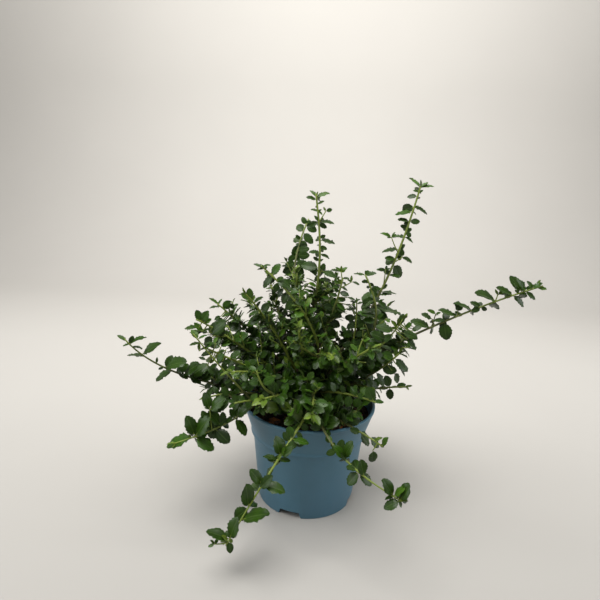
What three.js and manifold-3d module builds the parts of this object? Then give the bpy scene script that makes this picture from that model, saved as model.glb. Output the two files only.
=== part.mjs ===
// Potted creeping blueblossom: a low evergreen shrub in a round nursery pot.
// Thin shoots leave one short trunk and stand up, creep sideways or hang over the rim. A long shoot is a
// bare, tapering bough that ends where its leaves start, and a mass: a stem that goes on from the bough, with
// side twigs and leaves. Short inner shoots are masses whose stem starts at the trunk.
// Millimetres, +Z up. The origin is the centre of the pot's flat underside, and the front faces -Y.
import * as THREE from "three";
import { mergeVertices } from "three/addons/utils/BufferGeometryUtils.js";
import Module from "manifold-3d";

const wasm = await Module();
wasm.setup();

// Driving dimensions.
const GAP = 0.3; // between pieces that touch

const POT = {
  height: 129,
  baseRadius: 62,
  neckRadius: 71.6, // outside, just under the collar
  collarRadius: 72.7, // the collar's lower edge stands proud of the neck
  rimRadius: 84,
  collarHeight: 38.7,
  wall: 1.8,
  floor: 2.5,
  lip: 3.2, // thickness of the rim
  lipHeight: 4,
  footRound: 1.6,
  rimRound: 1.2,
  step: 1, // at the collar's lower edge and under the lip
  sides: 48,
};
const NOTCH = {
  count: 4,
  firstTurn: -107, // degrees from +X; this one shows, left of the front
  width: 30,
  crown: 24, // its width at the top
  height: 8,
  under: 1, // the cut starts this far below the pot
  inner: 50,
  outer: 70,
};
const SOIL = { top: 118, edgeTop: 115, level: 16, clear: 0.6, sides: 32 };
const TRUNK = {
  foot: new THREE.Vector3(-4, 0, SOIL.top + GAP),
  top: new THREE.Vector3(-12, -6, SOIL.top + 58),
  footRadius: 9,
  topRadius: 6,
  sides: 10,
  steps: 6,
};
const LIMB = { rootRadius: 1.9, tipRadius: 0.75, sides: 6, step: 20 };
const SEAT = {
  outside: 20, // a shoot's start comes in from this far off the trunk's middle
  rounds: 8,
  sections: [0, 3, 6, 9, 12, 15], // where along the shoot its distance to the trunk is measured
};
const STEM = { sides: 3, step: 26, swell: 1.4 }; // swell gives a three-sided stem the girth of a round one
const TWIG = {
  longest: 27,
  shortest: 14,
  rootRadius: 1.1,
  tipRadius: 0.8,
  open: 50, // degrees between a twig and its stem
  lift: 0.35, // how far it then leans up
  every: 2, // a twig at every second leaf
  stunted: 0.6, // a twig's length, as a share, where there is no room for a whole one
  uneven: 0.15, // how far its length strays from the rule, as a share
  leafSize: 0.8, // its leaves' length as a share of the stem's
  leaves: [
    { share: 0.5, facing: 0, size: 1, open: 62 },
    { share: 0.85, facing: 1, size: 0.9, open: 62 },
    { share: 0.97, facing: 0.5, size: 0.8, open: 15 },
  ],
};
const LEAF = {
  first: 5, // from a mass's start to its first leaf
  last: 0.985, // where the tip's leaves leave the stem, as a share of its length
  spacing: 13, // between leaves along a stem
  stray: 0.3, // how far one may sit past its place, as a share of the spacing
  uneven: 0.1, // how far its length strays from the rule, as a share
  old: 32, // length of a leaf near the trunk
  young: 17, // near the tip of a shoot that stands up
  low: 21, // and near the tip of one that hangs or creeps
  slender: 0.7, // width as a share of the length
  broadest: 0.45, // where along the leaf that is
  fold: 0.07, // how far the margins stand over the midrib, as a share of the length
  faces: { outward: 0.9, upward: 0.8 }, // its upper side is turned away from the trunk and up
  sunk: 0.3, // where its root lies, as a share of the stem's radius from the stem's middle
  apart: 0.42, // least distance between the middles of two leaves, as a share of the length
  open: 62, // degrees between a leaf and its stem
  turns: [0, 50, -50, 100, -100, 180], // a leaf that has no room is tried again, turned round the stem
  crown: [
    { facing: 0, size: 1, open: 20 },
    { facing: 1, size: 0.85, open: 50 },
  ], // the last two leaves, at a shoot's tip
};
const CLEAR = { limb: 2.2, pot: 1.6, ground: 4, trunk: 9 };
const LOW_TIP = 175; // a shoot whose tip is lower than this hangs or creeps
const STEEP = 0.9; // the sides of a stem that rises more steeply than this are measured from +Y, not from +Z
const MEASURED_PIECES = 24; // straight pieces that stand for a shoot's line where distances are measured
const FIRST_SEED = 40;
const GOLDEN_TURN = THREE.MathUtils.degToRad(137.5);

// Each shoot leaves the trunk at foot, a height over the soil, sets out towards aim and ends at tip. bare is
// the length of its bough, and bushy the share of its leafy stretch that has side twigs.
const SHOOTS = [
  { name: "upright_middle", foot: 58, aim: [5, 0, 245], tip: [-4, -5, 388], bare: 62, bushy: 0.35 },
  { name: "upright_right", foot: 44, aim: [80, 5, 216], tip: [117, 5, 402], bare: 60, bushy: 0.5 },
  { name: "long_right", foot: 31, aim: [150, -25, 256], tip: [250, -45, 300], bare: 66, bushy: 0.3 },
  { name: "upper_left", foot: 45, aim: [38, -45, 215], tip: [-61, -45, 308], bare: 55, bushy: 0.6 },
  { name: "upright_back", foot: 45, aim: [-27, 50, 280], tip: [-13, 85, 354], bare: 55, bushy: 0.8 },
  { name: "long_left", foot: 20, aim: [-170, -45, 155], tip: [-207, -75, 224], bare: 58, bushy: 0.5 },
  { name: "left_high", foot: 27, aim: [-115, -10, 222], tip: [-140, -25, 236], bare: 42, bushy: 0.8 },
  { name: "left_rise", foot: 39, aim: [-85, 20, 215], tip: [-122, 10, 248], bare: 40, bushy: 0.8 },
  { name: "left_arch", foot: 44, aim: [-60, -20, 245], tip: [-80, -35, 273], bare: 0, bushy: 0.8 },
  { name: "top_bush", foot: 52, aim: [25, -15, 245], tip: [32, -20, 294], bare: 38, bushy: 0.9 },
  { name: "top_middle", foot: 54, aim: [-22, -15, 250], tip: [-22, -20, 298], bare: 34, bushy: 0.9 },
  { name: "right_twin", foot: 38, aim: [90, -30, 208], tip: [57, -30, 300], bare: 42, bushy: 0.6 },
  { name: "right_bright", foot: 24, aim: [80, -40, 205], tip: [99, -60, 260], bare: 40, bushy: 0.7 },
  { name: "right_low", foot: 12, aim: [78, 0, 152], tip: [118, -15, 160], bare: 0, bushy: 0.6 },
  { name: "right_side", foot: 18, aim: [65, -22, 160], tip: [103, -38, 212], bare: 0, bushy: 0.8 },
  { name: "right_back", foot: 24, aim: [85, 30, 170], tip: [125, 45, 205], bare: 38, bushy: 0.8 },
  { name: "spill_left", foot: 16, aim: [-75, -68, 166], tip: [-148, -96, 112], bare: 62, bushy: 0.6 },
  { name: "low_left", foot: 9, aim: [-75, -42, 162], tip: [-120, -62, 153], bare: 0, bushy: 0.8 },
  { name: "trail_left", foot: 9, aim: [12, -116, 177], tip: [-77, -160, 40], bare: 60, bushy: 0.5 },
  { name: "trail_right", foot: 29, aim: [6, -112, 150], tip: [96, -152, 97], bare: 60, bushy: 0.4 },
  { name: "spill_front", foot: 15, aim: [40, -72, 160], tip: [82, -97, 124], bare: 0, bushy: 0.6 },
  { name: "front_left", foot: 28, aim: [-55, -55, 190], tip: [-86, -85, 196], bare: 0, bushy: 0.8 },
  { name: "front_middle", foot: 41, aim: [-12, -60, 220], tip: [-15, -90, 250], bare: 0, bushy: 0.9 },
  { name: "front_right", foot: 33, aim: [40, -60, 205], tip: [62, -95, 235], bare: 0, bushy: 0.9 },
  { name: "front_low", foot: 22, aim: [-30, -75, 170], tip: [-48, -98, 173], bare: 0, bushy: 0.8 },
  { name: "front_low_right", foot: 21, aim: [20, -70, 190], tip: [74, -75, 165], bare: 0, bushy: 0.8 },
  { name: "left_middle", foot: 25, aim: [-75, -38, 185], tip: [-120, -62, 214], bare: 0, bushy: 0.8 },
  { name: "front_edge", foot: 5, aim: [-45, -60, 160], tip: [-80, -96, 165], bare: 0, bushy: 0.8 },
  { name: "front_rim", foot: 37, aim: [6, -66, 184], tip: [4, -106, 162], bare: 0, bushy: 0.8 },
  { name: "front_top", foot: 47, aim: [10, -45, 218], tip: [22, -88, 222], bare: 0, bushy: 0.8 },
  { name: "back_high", foot: 47, aim: [-50, 45, 230], tip: [-62, 62, 275], bare: 0, bushy: 0.8 },
  { name: "back_right_low", foot: 27, aim: [75, 55, 175], tip: [122, 78, 172], bare: 0, bushy: 0.8 },
  { name: "left_back", foot: 33, aim: [-90, 40, 180], tip: [-135, 55, 195], bare: 0, bushy: 0.8 },
  { name: "back_left", foot: 28, aim: [-60, 65, 215], tip: [-95, 95, 232], bare: 0, bushy: 0.8 },
  { name: "back_middle", foot: 40, aim: [10, 75, 235], tip: [15, 115, 262], bare: 42, bushy: 0.9 },
  { name: "back_right", foot: 34, aim: [65, 60, 208], tip: [104, 85, 238], bare: 0, bushy: 0.8 },
  { name: "back_top", foot: 50, aim: [20, 45, 248], tip: [28, 65, 278], bare: 0, bushy: 0.9 },
  { name: "back_low_left", foot: 16, aim: [-75, 60, 165], tip: [-112, 95, 140], bare: 0, bushy: 0.8 },
  { name: "back_low", foot: 14, aim: [-10, 90, 165], tip: [-15, 130, 155], bare: 0, bushy: 0.8 },
  { name: "back_low_right", foot: 19, aim: [60, 85, 175], tip: [80, 130, 150], bare: 0, bushy: 0.8 },
];

const finishes = {
  pot: new THREE.MeshStandardMaterial({ color: 0x57718a, roughness: 0.55, metalness: 0 }),
  soil: new THREE.MeshStandardMaterial({ color: 0x2a1f18, roughness: 0.95, metalness: 0 }),
  bark: new THREE.MeshStandardMaterial({ color: 0x6b5a38, roughness: 0.8, metalness: 0 }),
  leaves: new THREE.MeshStandardMaterial({ color: 0x2f5a26, roughness: 0.45, metalness: 0 }),
};

// A closed geometry as a solid.
function solidOf(geometry) {
  geometry.deleteAttribute("normal");
  geometry.deleteAttribute("uv");
  const merged = mergeVertices(geometry, 1e-4);
  const mesh = new wasm.Mesh({
    numProp: 3,
    vertProperties: new Float32Array(merged.getAttribute("position").array),
    triVerts: new Uint32Array(merged.index.array),
  });
  return new wasm.Manifold(mesh);
}

function geometryOf(solid) {
  const mesh = solid.getMesh();
  const geometry = new THREE.BufferGeometry();
  geometry.setAttribute("position", new THREE.BufferAttribute(mesh.vertProperties, 3));
  geometry.setIndex(new THREE.BufferAttribute(mesh.triVerts, 1));
  return geometry;
}

// The same random numbers on every run.
function seeded(seed) {
  let state = seed >>> 0;
  return () => {
    state = (state + 0x6d2b79f5) >>> 0;
    let mixed = Math.imul(state ^ (state >>> 15), 1 | state);
    mixed = (mixed + Math.imul(mixed ^ (mixed >>> 7), 61 | mixed)) ^ mixed;
    return ((mixed ^ (mixed >>> 14)) >>> 0) / 4294967296;
  };
}

// A stretch of a curve, between two lengths along it.
class Stretch extends THREE.Curve {
  constructor(whole, from, to) {
    super();
    this.whole = whole;
    this.from = from / whole.getLength();
    this.to = to / whole.getLength();
  }

  getPoint(t) {
    return this.whole.getPointAt(THREE.MathUtils.lerp(this.from, this.to, t));
  }
}

// A round limb along a curve: a cylinder bent to it, whose radius follows radiusAt.
function limbGeometry(curve, radiusAt, sides, steps) {
  const tube = new THREE.CylinderGeometry(1, 1, 1, sides, steps);
  const frames = curve.computeFrenetFrames(steps, false);
  const place = tube.getAttribute("position");
  for (let i = 0; i < place.count; i += 1) {
    const ring = Math.round((place.getY(i) + 0.5) * steps);
    const at = curve.getPointAt(ring / steps);
    const radius = radiusAt(ring / steps);
    at.addScaledVector(frames.binormals[ring], place.getX(i) * radius);
    at.addScaledVector(frames.normals[ring], place.getZ(i) * radius);
    place.setXYZ(i, at.x, at.y, at.z);
  }
  return tube;
}

function limb(curve, radiusAt, sides, steps) {
  return solidOf(limbGeometry(curve, radiusAt, sides, steps));
}

function verticesOf(geometry) {
  const place = geometry.getAttribute("position");
  return Array.from({ length: place.count }, (_, i) => new THREE.Vector3().fromBufferAttribute(place, i));
}

function facesOf(geometry) {
  const points = verticesOf(geometry.toNonIndexed());
  const firsts = points.filter((_, i) => i % 3 === 0);
  return firsts.map((first, i) => new THREE.Triangle(first, points[3 * i + 1], points[3 * i + 2]));
}

function turned(points, sides) {
  const profile = points.map(([radius, height]) => new THREE.Vector2(radius, height));
  return solidOf(new THREE.LatheGeometry(profile, sides).rotateX(Math.PI / 2));
}

// Outer radius of the pot's body at a height, under the collar.
function bodyRadius(height) {
  const share = height / (POT.height - POT.collarHeight);
  return THREE.MathUtils.lerp(POT.baseRadius, POT.neckRadius, share);
}

function drainNotch(degrees) {
  const outline = new THREE.Shape([
    new THREE.Vector2(-NOTCH.width / 2, -NOTCH.under),
    new THREE.Vector2(NOTCH.width / 2, -NOTCH.under),
    new THREE.Vector2(NOTCH.crown / 2, NOTCH.height),
    new THREE.Vector2(-NOTCH.crown / 2, NOTCH.height),
  ]);
  const options = { depth: NOTCH.outer - NOTCH.inner, bevelEnabled: false };
  const cutter = new THREE.ExtrudeGeometry(outline, options);
  cutter.rotateX(Math.PI / 2).translate(0, NOTCH.outer, 0);
  cutter.rotateZ(THREE.MathUtils.degToRad(degrees - 90));
  return solidOf(cutter);
}

// The pot's inner corners, from the rim down to its floor, each as its radius and height.
const NECK_HEIGHT = POT.height - POT.collarHeight;
const INSIDE = {
  rim: [POT.rimRadius - POT.lip, POT.height],
  lip: [POT.rimRadius - POT.lip - POT.step, POT.height - POT.lipHeight],
  neck: [POT.neckRadius - POT.wall + POT.step, NECK_HEIGHT],
  floor: [bodyRadius(POT.floor) - POT.wall, POT.floor],
};

function pot() {
  const outside = [
    [0, 0],
    [POT.baseRadius - POT.footRound, 0],
    [POT.baseRadius, POT.footRound],
    [POT.neckRadius, NECK_HEIGHT],
    [POT.collarRadius, NECK_HEIGHT + POT.step],
    [POT.rimRadius - POT.rimRound / 2, POT.height - POT.rimRound / 2],
    [POT.rimRadius - POT.rimRound, POT.height],
  ];
  const profile = [...outside, INSIDE.rim, INSIDE.lip, INSIDE.neck, INSIDE.floor, [0, POT.floor]];
  let body = turned(profile, POT.sides);
  for (let i = 0; i < NOTCH.count; i += 1) {
    body = body.subtract(drainNotch(NOTCH.firstTurn + (360 / NOTCH.count) * i));
  }
  return body;
}

// The soil fills the pot, clear of its walls, and is level round the trunk and lower at its edge.
function soil() {
  const [lipRadius, lipFoot] = INSIDE.lip;
  const [neckRadius] = INSIDE.neck;
  const [floorRadius] = INSIDE.floor;
  const rise = (SOIL.edgeTop - NECK_HEIGHT) / (lipFoot - NECK_HEIGHT);
  const edgeRadius = THREE.MathUtils.lerp(neckRadius, lipRadius, rise);
  return turned(
    [
      [0, POT.floor + GAP],
      [floorRadius - SOIL.clear, POT.floor + GAP],
      [neckRadius - SOIL.clear, NECK_HEIGHT],
      [edgeRadius - SOIL.clear, SOIL.edgeTop],
      [SOIL.level, SOIL.top],
      [0, SOIL.top],
    ],
    SOIL.sides,
  );
}

// The trunk rises upright from the soil and then leans.
const trunkBend = new THREE.Vector3(TRUNK.foot.x, TRUNK.foot.y, (TRUNK.foot.z + TRUNK.top.z) / 2);
const trunkLine = new THREE.QuadraticBezierCurve3(TRUNK.foot, trunkBend, TRUNK.top);

// The trunk flares towards its foot.
function trunkRadius(share) {
  return TRUNK.topRadius + (TRUNK.footRadius - TRUNK.topRadius) * (1 - share) ** 2;
}

const trunkFaces = facesOf(limbGeometry(trunkLine, trunkRadius, TRUNK.sides, TRUNK.steps));
const nearestPoint = new THREE.Vector3();

// Points on the skin of a limb near its root: the corners of a few cross sections, and the middles between.
function skinNearRoot(line, radius, sides) {
  const { normals, binormals } = line.computeFrenetFrames(1, false);
  return SEAT.sections.flatMap((distance) => {
    const middle = line.getPointAt(distance / line.getLength());
    return Array.from({ length: 2 * sides }, (_, i) => {
      const turn = (Math.PI * i) / sides;
      const reach = i % 2 === 0 ? radius : radius * Math.cos(Math.PI / sides);
      const point = middle.clone().addScaledVector(binormals[0], Math.sin(turn) * reach);
      return point.addScaledVector(normals[0], Math.cos(turn) * reach);
    });
  });
}

function gapToTrunk(points) {
  const gaps = points.flatMap((point) =>
    trunkFaces.map((face) => face.closestPointToPoint(point, nearestPoint).distanceTo(point)),
  );
  return Math.min(...gaps);
}

// The line of a shoot, from the trunk's skin to its tip. One at the trunk's full height goes on from its top.
// It is seated by moving its start in from well outside, until the skin round its root stands off by the gap.
function shootLine({ foot, aim, tip, bare }) {
  const share = Math.min((SOIL.top + foot - TRUNK.foot.z) / (TRUNK.top.z - TRUNK.foot.z), 1);
  const start = trunkLine.getPoint(share);
  const heading = new THREE.Vector3(...aim).sub(start).setZ(0).normalize();
  const outward = share === 1 ? trunkLine.getTangent(1) : heading;
  const radius = LIMB.rootRadius * (bare > 0 ? 1 : STEM.swell);
  start.addScaledVector(outward, SEAT.outside);
  const lineFrom = (from) => {
    return new THREE.QuadraticBezierCurve3(from, new THREE.Vector3(...aim), new THREE.Vector3(...tip));
  };
  for (let round = 0; round < SEAT.rounds; round += 1) {
    const skin = skinNearRoot(lineFrom(start), radius, bare > 0 ? LIMB.sides : STEM.sides);
    start.addScaledVector(outward, GAP - gapToTrunk(skin));
  }
  return lineFrom(start);
}

// A line as short straight pieces, to measure distances to it.
function pieces(curve, count) {
  const points = curve.getSpacedPoints(count);
  return points.slice(1).map((point, i) => new THREE.Line3(points[i], point));
}

const lines = SHOOTS.map(shootLine);
const paths = lines.map((line) => pieces(line, MEASURED_PIECES));
const trunkPath = pieces(trunkLine, TRUNK.steps);

function distanceTo(point, path) {
  const distances = path.map((part) => part.closestPointToPoint(point, true, nearestPoint).distanceTo(point));
  return Math.min(...distances);
}

function isClearOfPot(point) {
  const radius = Math.hypot(point.x, point.y);
  const overRim = point.z > POT.height + CLEAR.pot;
  return overRim || (radius > POT.rimRadius + CLEAR.pot && point.z > CLEAR.ground);
}

// A mass's space: the points that are nearer to its own shoot's line than to any other limb.
function isInSpace(point, owner) {
  if (!isClearOfPot(point) || distanceTo(point, trunkPath) < CLEAR.trunk) return false;
  const own = distanceTo(point, paths[owner]);
  return paths.every((path, i) => i === owner || distanceTo(point, path) - CLEAR.limb > own);
}

function limbRadius(share) {
  return THREE.MathUtils.lerp(LIMB.rootRadius, LIMB.tipRadius, share);
}

function bough(shoot, line) {
  const part = new Stretch(line, 0, shoot.bare);
  const share = shoot.bare / line.getLength();
  const steps = Math.round(shoot.bare / LIMB.step);
  return limb(part, (t) => limbRadius(t * share), LIMB.sides, steps);
}

// Directions along a leaf, across it and out of its upper side.
function leafAxes(along, at) {
  const lit = new THREE.Vector3(at.x, at.y, 0).setLength(LEAF.faces.outward).setZ(LEAF.faces.upward);
  const across = new THREE.Vector3().crossVectors(along, lit).normalize();
  const up = new THREE.Vector3().crossVectors(across, along);
  return { along, across, up };
}

// A leaf is a folded blade on four corners: its root, its tip and its two margins, which stand over its
// midrib. Root and tip are the ends of the tetrahedron's lower edge, and the margins those of its upper edge.
function leafGeometry(root, axes, length) {
  const blade = new THREE.TetrahedronGeometry(Math.sqrt(3));
  const place = blade.getAttribute("position");
  for (let i = 0; i < place.count; i += 1) {
    const isMargin = place.getZ(i) > 0;
    const lengthways = (place.getY(i) - place.getX(i)) / 2;
    const sideways = (place.getX(i) + place.getY(i)) / 2;
    const at = root.clone();
    at.addScaledVector(axes.along, length * (isMargin ? LEAF.broadest : (lengthways + 1) / 2));
    at.addScaledVector(axes.across, length * LEAF.slender * (sideways / 2));
    at.addScaledVector(axes.up, length * (isMargin ? LEAF.fold : 0));
    place.setXYZ(i, at.x, at.y, at.z);
  }
  return blade;
}

// A direction that opens by an angle from a stem, on the side that turn gives.
function sideways(frame, turn, degrees) {
  const open = THREE.MathUtils.degToRad(degrees);
  return frame.tangent
    .clone()
    .multiplyScalar(Math.cos(open))
    .addScaledVector(frame.normal, Math.sin(open) * Math.cos(turn))
    .addScaledVector(frame.binormal, Math.sin(open) * Math.sin(turn));
}

// Where a leaf or twig leaves a stem, on the straight pieces that the stem is made of.
function frameAt(stem, t) {
  const piece = Math.min(Math.floor(t * stem.steps), stem.steps - 1);
  const from = stem.curve.getPointAt(piece / stem.steps);
  const to = stem.curve.getPointAt((piece + 1) / stem.steps);
  const tangent = to.clone().sub(from).normalize();
  const sideOn = Math.abs(tangent.z) > STEEP ? new THREE.Vector3(0, 1, 0) : new THREE.Vector3(0, 0, 1);
  const normal = new THREE.Vector3().crossVectors(sideOn, tangent).normalize();
  const binormal = new THREE.Vector3().crossVectors(tangent, normal);
  return { at: from.lerp(to, t * stem.steps - piece), radius: stem.radiusAt(t), tangent, normal, binormal };
}

// Adds a leaf to a mass, at the first of its turns where the mass's space has room for one.
function addLeaf(mass, frame, turn, length, open = LEAF.open) {
  for (const retry of LEAF.turns) {
    const along = sideways(frame, turn + THREE.MathUtils.degToRad(retry), open);
    const root = frame.at.clone().addScaledVector(along, LEAF.sunk * frame.radius);
    const middle = root.clone().addScaledVector(along, length / 2);
    const blade = leafGeometry(root, leafAxes(along, root), length);
    const corners = verticesOf(blade).filter((point) => point.distanceTo(root) > frame.radius);
    const isApart = mass.middles.every((other) => other.distanceTo(middle) > LEAF.apart * length);
    if (isApart && corners.every((point) => isInSpace(point, mass.owner))) {
      mass.solids.push(solidOf(blade));
      mass.middles.push(middle);
      return;
    }
  }
}

// Adds a side twig that leans up, with two leaves and one at its tip, where the mass's space has room for it.
function addTwig(mass, frame, turn, length, leafLength) {
  const along = sideways(frame, turn, TWIG.open);
  along.z += TWIG.lift;
  along.normalize();
  const end = frame.at.clone().addScaledVector(along, length);
  const reach = end.clone().addScaledVector(along, leafLength / 2);
  if (!isInSpace(end, mass.owner) || !isInSpace(reach, mass.owner)) return false;
  const radiusAt = (t) => THREE.MathUtils.lerp(TWIG.rootRadius, TWIG.tipRadius, t);
  const twig = { curve: new THREE.LineCurve3(frame.at, end), radiusAt, steps: 1 };
  mass.solids.push(limb(twig.curve, radiusAt, STEM.sides, twig.steps));
  for (const { share, facing, size, open } of TWIG.leaves) {
    addLeaf(mass, frameAt(twig, share), turn + facing * Math.PI, leafLength * size, open);
  }
  return true;
}

// A mass: the stem from its bough's end to the shoot's tip, with a leaf at each node and twigs on the first
// part of it.
function mass(shoot, owner) {
  const random = seeded(owner + FIRST_SEED);
  const vary = (spread) => 1 + spread * (2 * random() - 1);
  const whole = lines[owner];
  const length = whole.getLength();
  const from = shoot.bare > 0 ? shoot.bare + GAP : 0;
  const leafy = length - from;
  const stem = {
    curve: new Stretch(whole, from, length),
    radiusAt: (t) => STEM.swell * limbRadius((from + t * leafy) / length),
    steps: Math.ceil(leafy / STEM.step),
  };
  const made = { owner, middles: [], solids: [limb(stem.curve, stem.radiusAt, STEM.sides, stem.steps)] };
  const nodes = Math.floor((leafy - LEAF.first) / LEAF.spacing);
  const tipLeaf = shoot.tip[2] < LOW_TIP ? LEAF.low : LEAF.young;
  let turn = random() * 2 * Math.PI;
  for (let node = 0; node < nodes; node += 1) {
    const t = (LEAF.first + (node + LEAF.stray * random()) * LEAF.spacing) / leafy;
    const leafLength = THREE.MathUtils.lerp(LEAF.old, tipLeaf, t) * vary(LEAF.uneven);
    const twigLength = THREE.MathUtils.lerp(TWIG.longest, TWIG.shortest, t) * vary(TWIG.uneven);
    const frame = frameAt(stem, t);
    turn += GOLDEN_TURN;
    if (t < shoot.bushy && node % TWIG.every === 0) {
      const hasTwig = addTwig(made, frame, turn + Math.PI, twigLength, leafLength * TWIG.leafSize);
      const short = twigLength * TWIG.stunted;
      if (!hasTwig) addTwig(made, frame, turn + Math.PI / 2, short, leafLength * TWIG.leafSize);
    }
    addLeaf(made, frame, turn, leafLength);
  }
  for (const { facing, size, open } of LEAF.crown) {
    addLeaf(made, frameAt(stem, LEAF.last), turn + facing * Math.PI, tipLeaf * size, open);
  }
  return made.solids.reduce((sum, solid) => sum.add(solid));
}

const plant = new THREE.Group();

function add(name, solid, finish) {
  const piece = new THREE.Mesh(geometryOf(solid), finish);
  piece.name = name;
  plant.add(piece);
}

add("pot", pot(), finishes.pot);
add("soil", soil(), finishes.soil);
add("trunk", limb(trunkLine, trunkRadius, TRUNK.sides, TRUNK.steps), finishes.bark);
SHOOTS.forEach((shoot, i) => {
  if (shoot.bare > 0) add(`bough_${shoot.name}`, bough(shoot, lines[i]), finishes.bark);
  add(`leaves_${shoot.name}`, mass(shoot, i), finishes.leaves);
});

export default plant;
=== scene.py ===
"""Potted creeping blueblossom: its looks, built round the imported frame.

The growth rule works in millimetres, as the part's source does. Its points become metres when a mesh is made.
"""

import functools
import itertools
import math

import bmesh
import bpy
import numpy as np
from bpy.props import FloatProperty, FloatVectorProperty, IntProperty, PointerProperty
from mathutils import Matrix, Vector, noise


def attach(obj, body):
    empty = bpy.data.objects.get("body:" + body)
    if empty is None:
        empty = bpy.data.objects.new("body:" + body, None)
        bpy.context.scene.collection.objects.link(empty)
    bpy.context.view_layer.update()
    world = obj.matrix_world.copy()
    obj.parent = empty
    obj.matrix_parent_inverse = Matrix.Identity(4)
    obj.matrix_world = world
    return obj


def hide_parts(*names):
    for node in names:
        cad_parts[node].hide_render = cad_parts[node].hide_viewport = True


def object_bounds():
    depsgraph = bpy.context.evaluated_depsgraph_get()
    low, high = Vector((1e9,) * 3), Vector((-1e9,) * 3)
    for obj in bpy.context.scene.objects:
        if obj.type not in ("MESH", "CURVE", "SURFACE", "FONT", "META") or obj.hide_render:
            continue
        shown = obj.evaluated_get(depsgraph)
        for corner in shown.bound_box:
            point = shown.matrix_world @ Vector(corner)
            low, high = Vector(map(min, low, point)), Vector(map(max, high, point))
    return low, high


bl_info = {
    "name": "Potted Creeping Blueblossom",
    "version": (1, 0, 0),
    "blender": (4, 5, 0),
    "location": "3D View > Sidebar > Blueblossom",
    "description": "A creeping evergreen shrub in a round nursery pot, built round its packed frame",
    "category": "Add Mesh",
}

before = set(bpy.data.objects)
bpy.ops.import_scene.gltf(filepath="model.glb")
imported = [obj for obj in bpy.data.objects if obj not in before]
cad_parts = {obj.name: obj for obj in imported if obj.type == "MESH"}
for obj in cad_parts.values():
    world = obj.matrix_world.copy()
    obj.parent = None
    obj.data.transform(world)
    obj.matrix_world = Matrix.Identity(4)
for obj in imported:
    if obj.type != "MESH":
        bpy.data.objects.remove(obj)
CAD_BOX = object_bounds()

MM = 0.001
UP = np.array([0.0, 0.0, 1.0])
FULL_TURN = 2 * math.pi
GOLDEN_TURN = math.radians(137.5)

# Where the camera stands, in millimetres, and its yaw, pitch and roll in degrees, the pitch from straight down.
EYE = np.array([0.0, -564.6, 392.1])
CAMERA_TURNS = ((1.78, "Z"), (90 - 13.13, "X"), (2.39, "Z"))

# ---- the plant's measures, as in the part's source ------------

GAP = 0.3
SOIL_TOP = 118.0
POT_HEIGHT = 129.0
POT_RIM = 84.0
TRUNK_FOOT = np.array([-4.0, 0.0, SOIL_TOP + GAP])
TRUNK_TOP = np.array([-12.0, -6.0, SOIL_TOP + 58.0])
TRUNK_BEND = np.array([-4.0, 0.0, (TRUNK_FOOT[2] + TRUNK_TOP[2]) / 2])
TRUNK_FOOT_RADIUS, TRUNK_TOP_RADIUS = 9.0, 6.0
LIMB_ROOT_RADIUS, LIMB_TIP_RADIUS = 2.0, 0.75

# A shoot's leaves: the first node, the space between nodes, the share at which the last sit, how much place and
# size vary, and a leaf's length at the shoot's root, at its tip, and at a tip below LOW_TIP.
LEAF_FIRST, LEAF_SPACING, LEAF_LAST = 5.0, 13.0, 0.985
LEAF_STRAY, LEAF_UNEVEN = 0.3, 0.1
LEAF_OLD, LEAF_YOUNG, LEAF_LOW = 32.0, 17.0, 21.0
LOW_TIP = 175.0

# Side twigs: length at a shoot's root and tip, how much it varies, its share where there is little room, the
# angle off the stem, and the bend upwards.
TWIG_LENGTHS = (27.0, 14.0)
TWIG_UNEVEN, TWIG_STUNTED = 0.15, 0.6
TWIG_OPEN, TWIG_LIFT = 50.0, 0.35

# A stem steeper than this has no level side of its own.
STEEP = 0.9
FIRST_SEED = 40

# ---- measures that only the looks have ------------

OUTER_SEED, SHOOT_SEED, REGION_SEED, SOIL_SEED = 3000, 1000, 70, 5
STALK_SIDES, TWIG_SIDES, BRANCH_SIDES, STEM_SIDES = 3, 5, 6, 8

# A leafy stem's radius at its tip, and where it differs.
STEM_TIP_RADIUS = 1.0
STEM_TIPS = {
    "upright_middle": 1.05, "upright_right": 1.1, "upper_left": 0.95, "left_arch": 0.95, "trail_left": 0.7,
    "trail_right": 0.7, "right_bright": 0.7, "spill_front": 0.8, "long_right": 0.85, "long_left": 0.8,
    "spill_left": 0.65,
}
# How far a shoot's stem is from old brown wood (less) towards young yellow-green (more).
STEM_YOUTH = {
    "upper_left": 0.8, "left_arch": 0.95, "left_high": 0.85, "right_bright": 0.2, "trail_left": 0.5,
    "trail_right": 0.2, "front_left": 0.4, "front_middle": 0.3, "front_low_right": 0.3, "left_middle": 0.3,
    "upright_middle": 0.28, "upright_right": 0.22, "upright_back": -0.1, "long_right": 0.1, "long_left": -0.05,
    "spill_left": 0.15,
}
# How far the middle of a leafy stem sags or bows away from the source's plain curve, to the right and up.
STEM_BENDS = {
    "upright_middle": (5.0, 0.0), "upright_back": (-9.0, 1.0), "spill_left": (5.0, -11.0),
    "trail_left": (-3.0, 1.8), "trail_right": (-5.8, -5.9), "spill_front": (-7.0, -8.0),
    "upper_left": (1.5, 1.2), "left_arch": (1.9, 1.4), "front_low_right": (0.0, -5.0), "right_twin": (8.0, 0.0),
}
# The real leaves' share of the source's length and their places from one node to the next, for shoots that end
# above and below LOW_CROWN.
LEAF_LIFE, LEAF_LIFE_LOW = 0.51, 0.665
BETWEEN_NODES, BETWEEN_NODES_LOW = (0.0, 0.25, 0.5, 0.75), (0.0, 0.33, 0.67)
LOW_CROWN = 250.0
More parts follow.
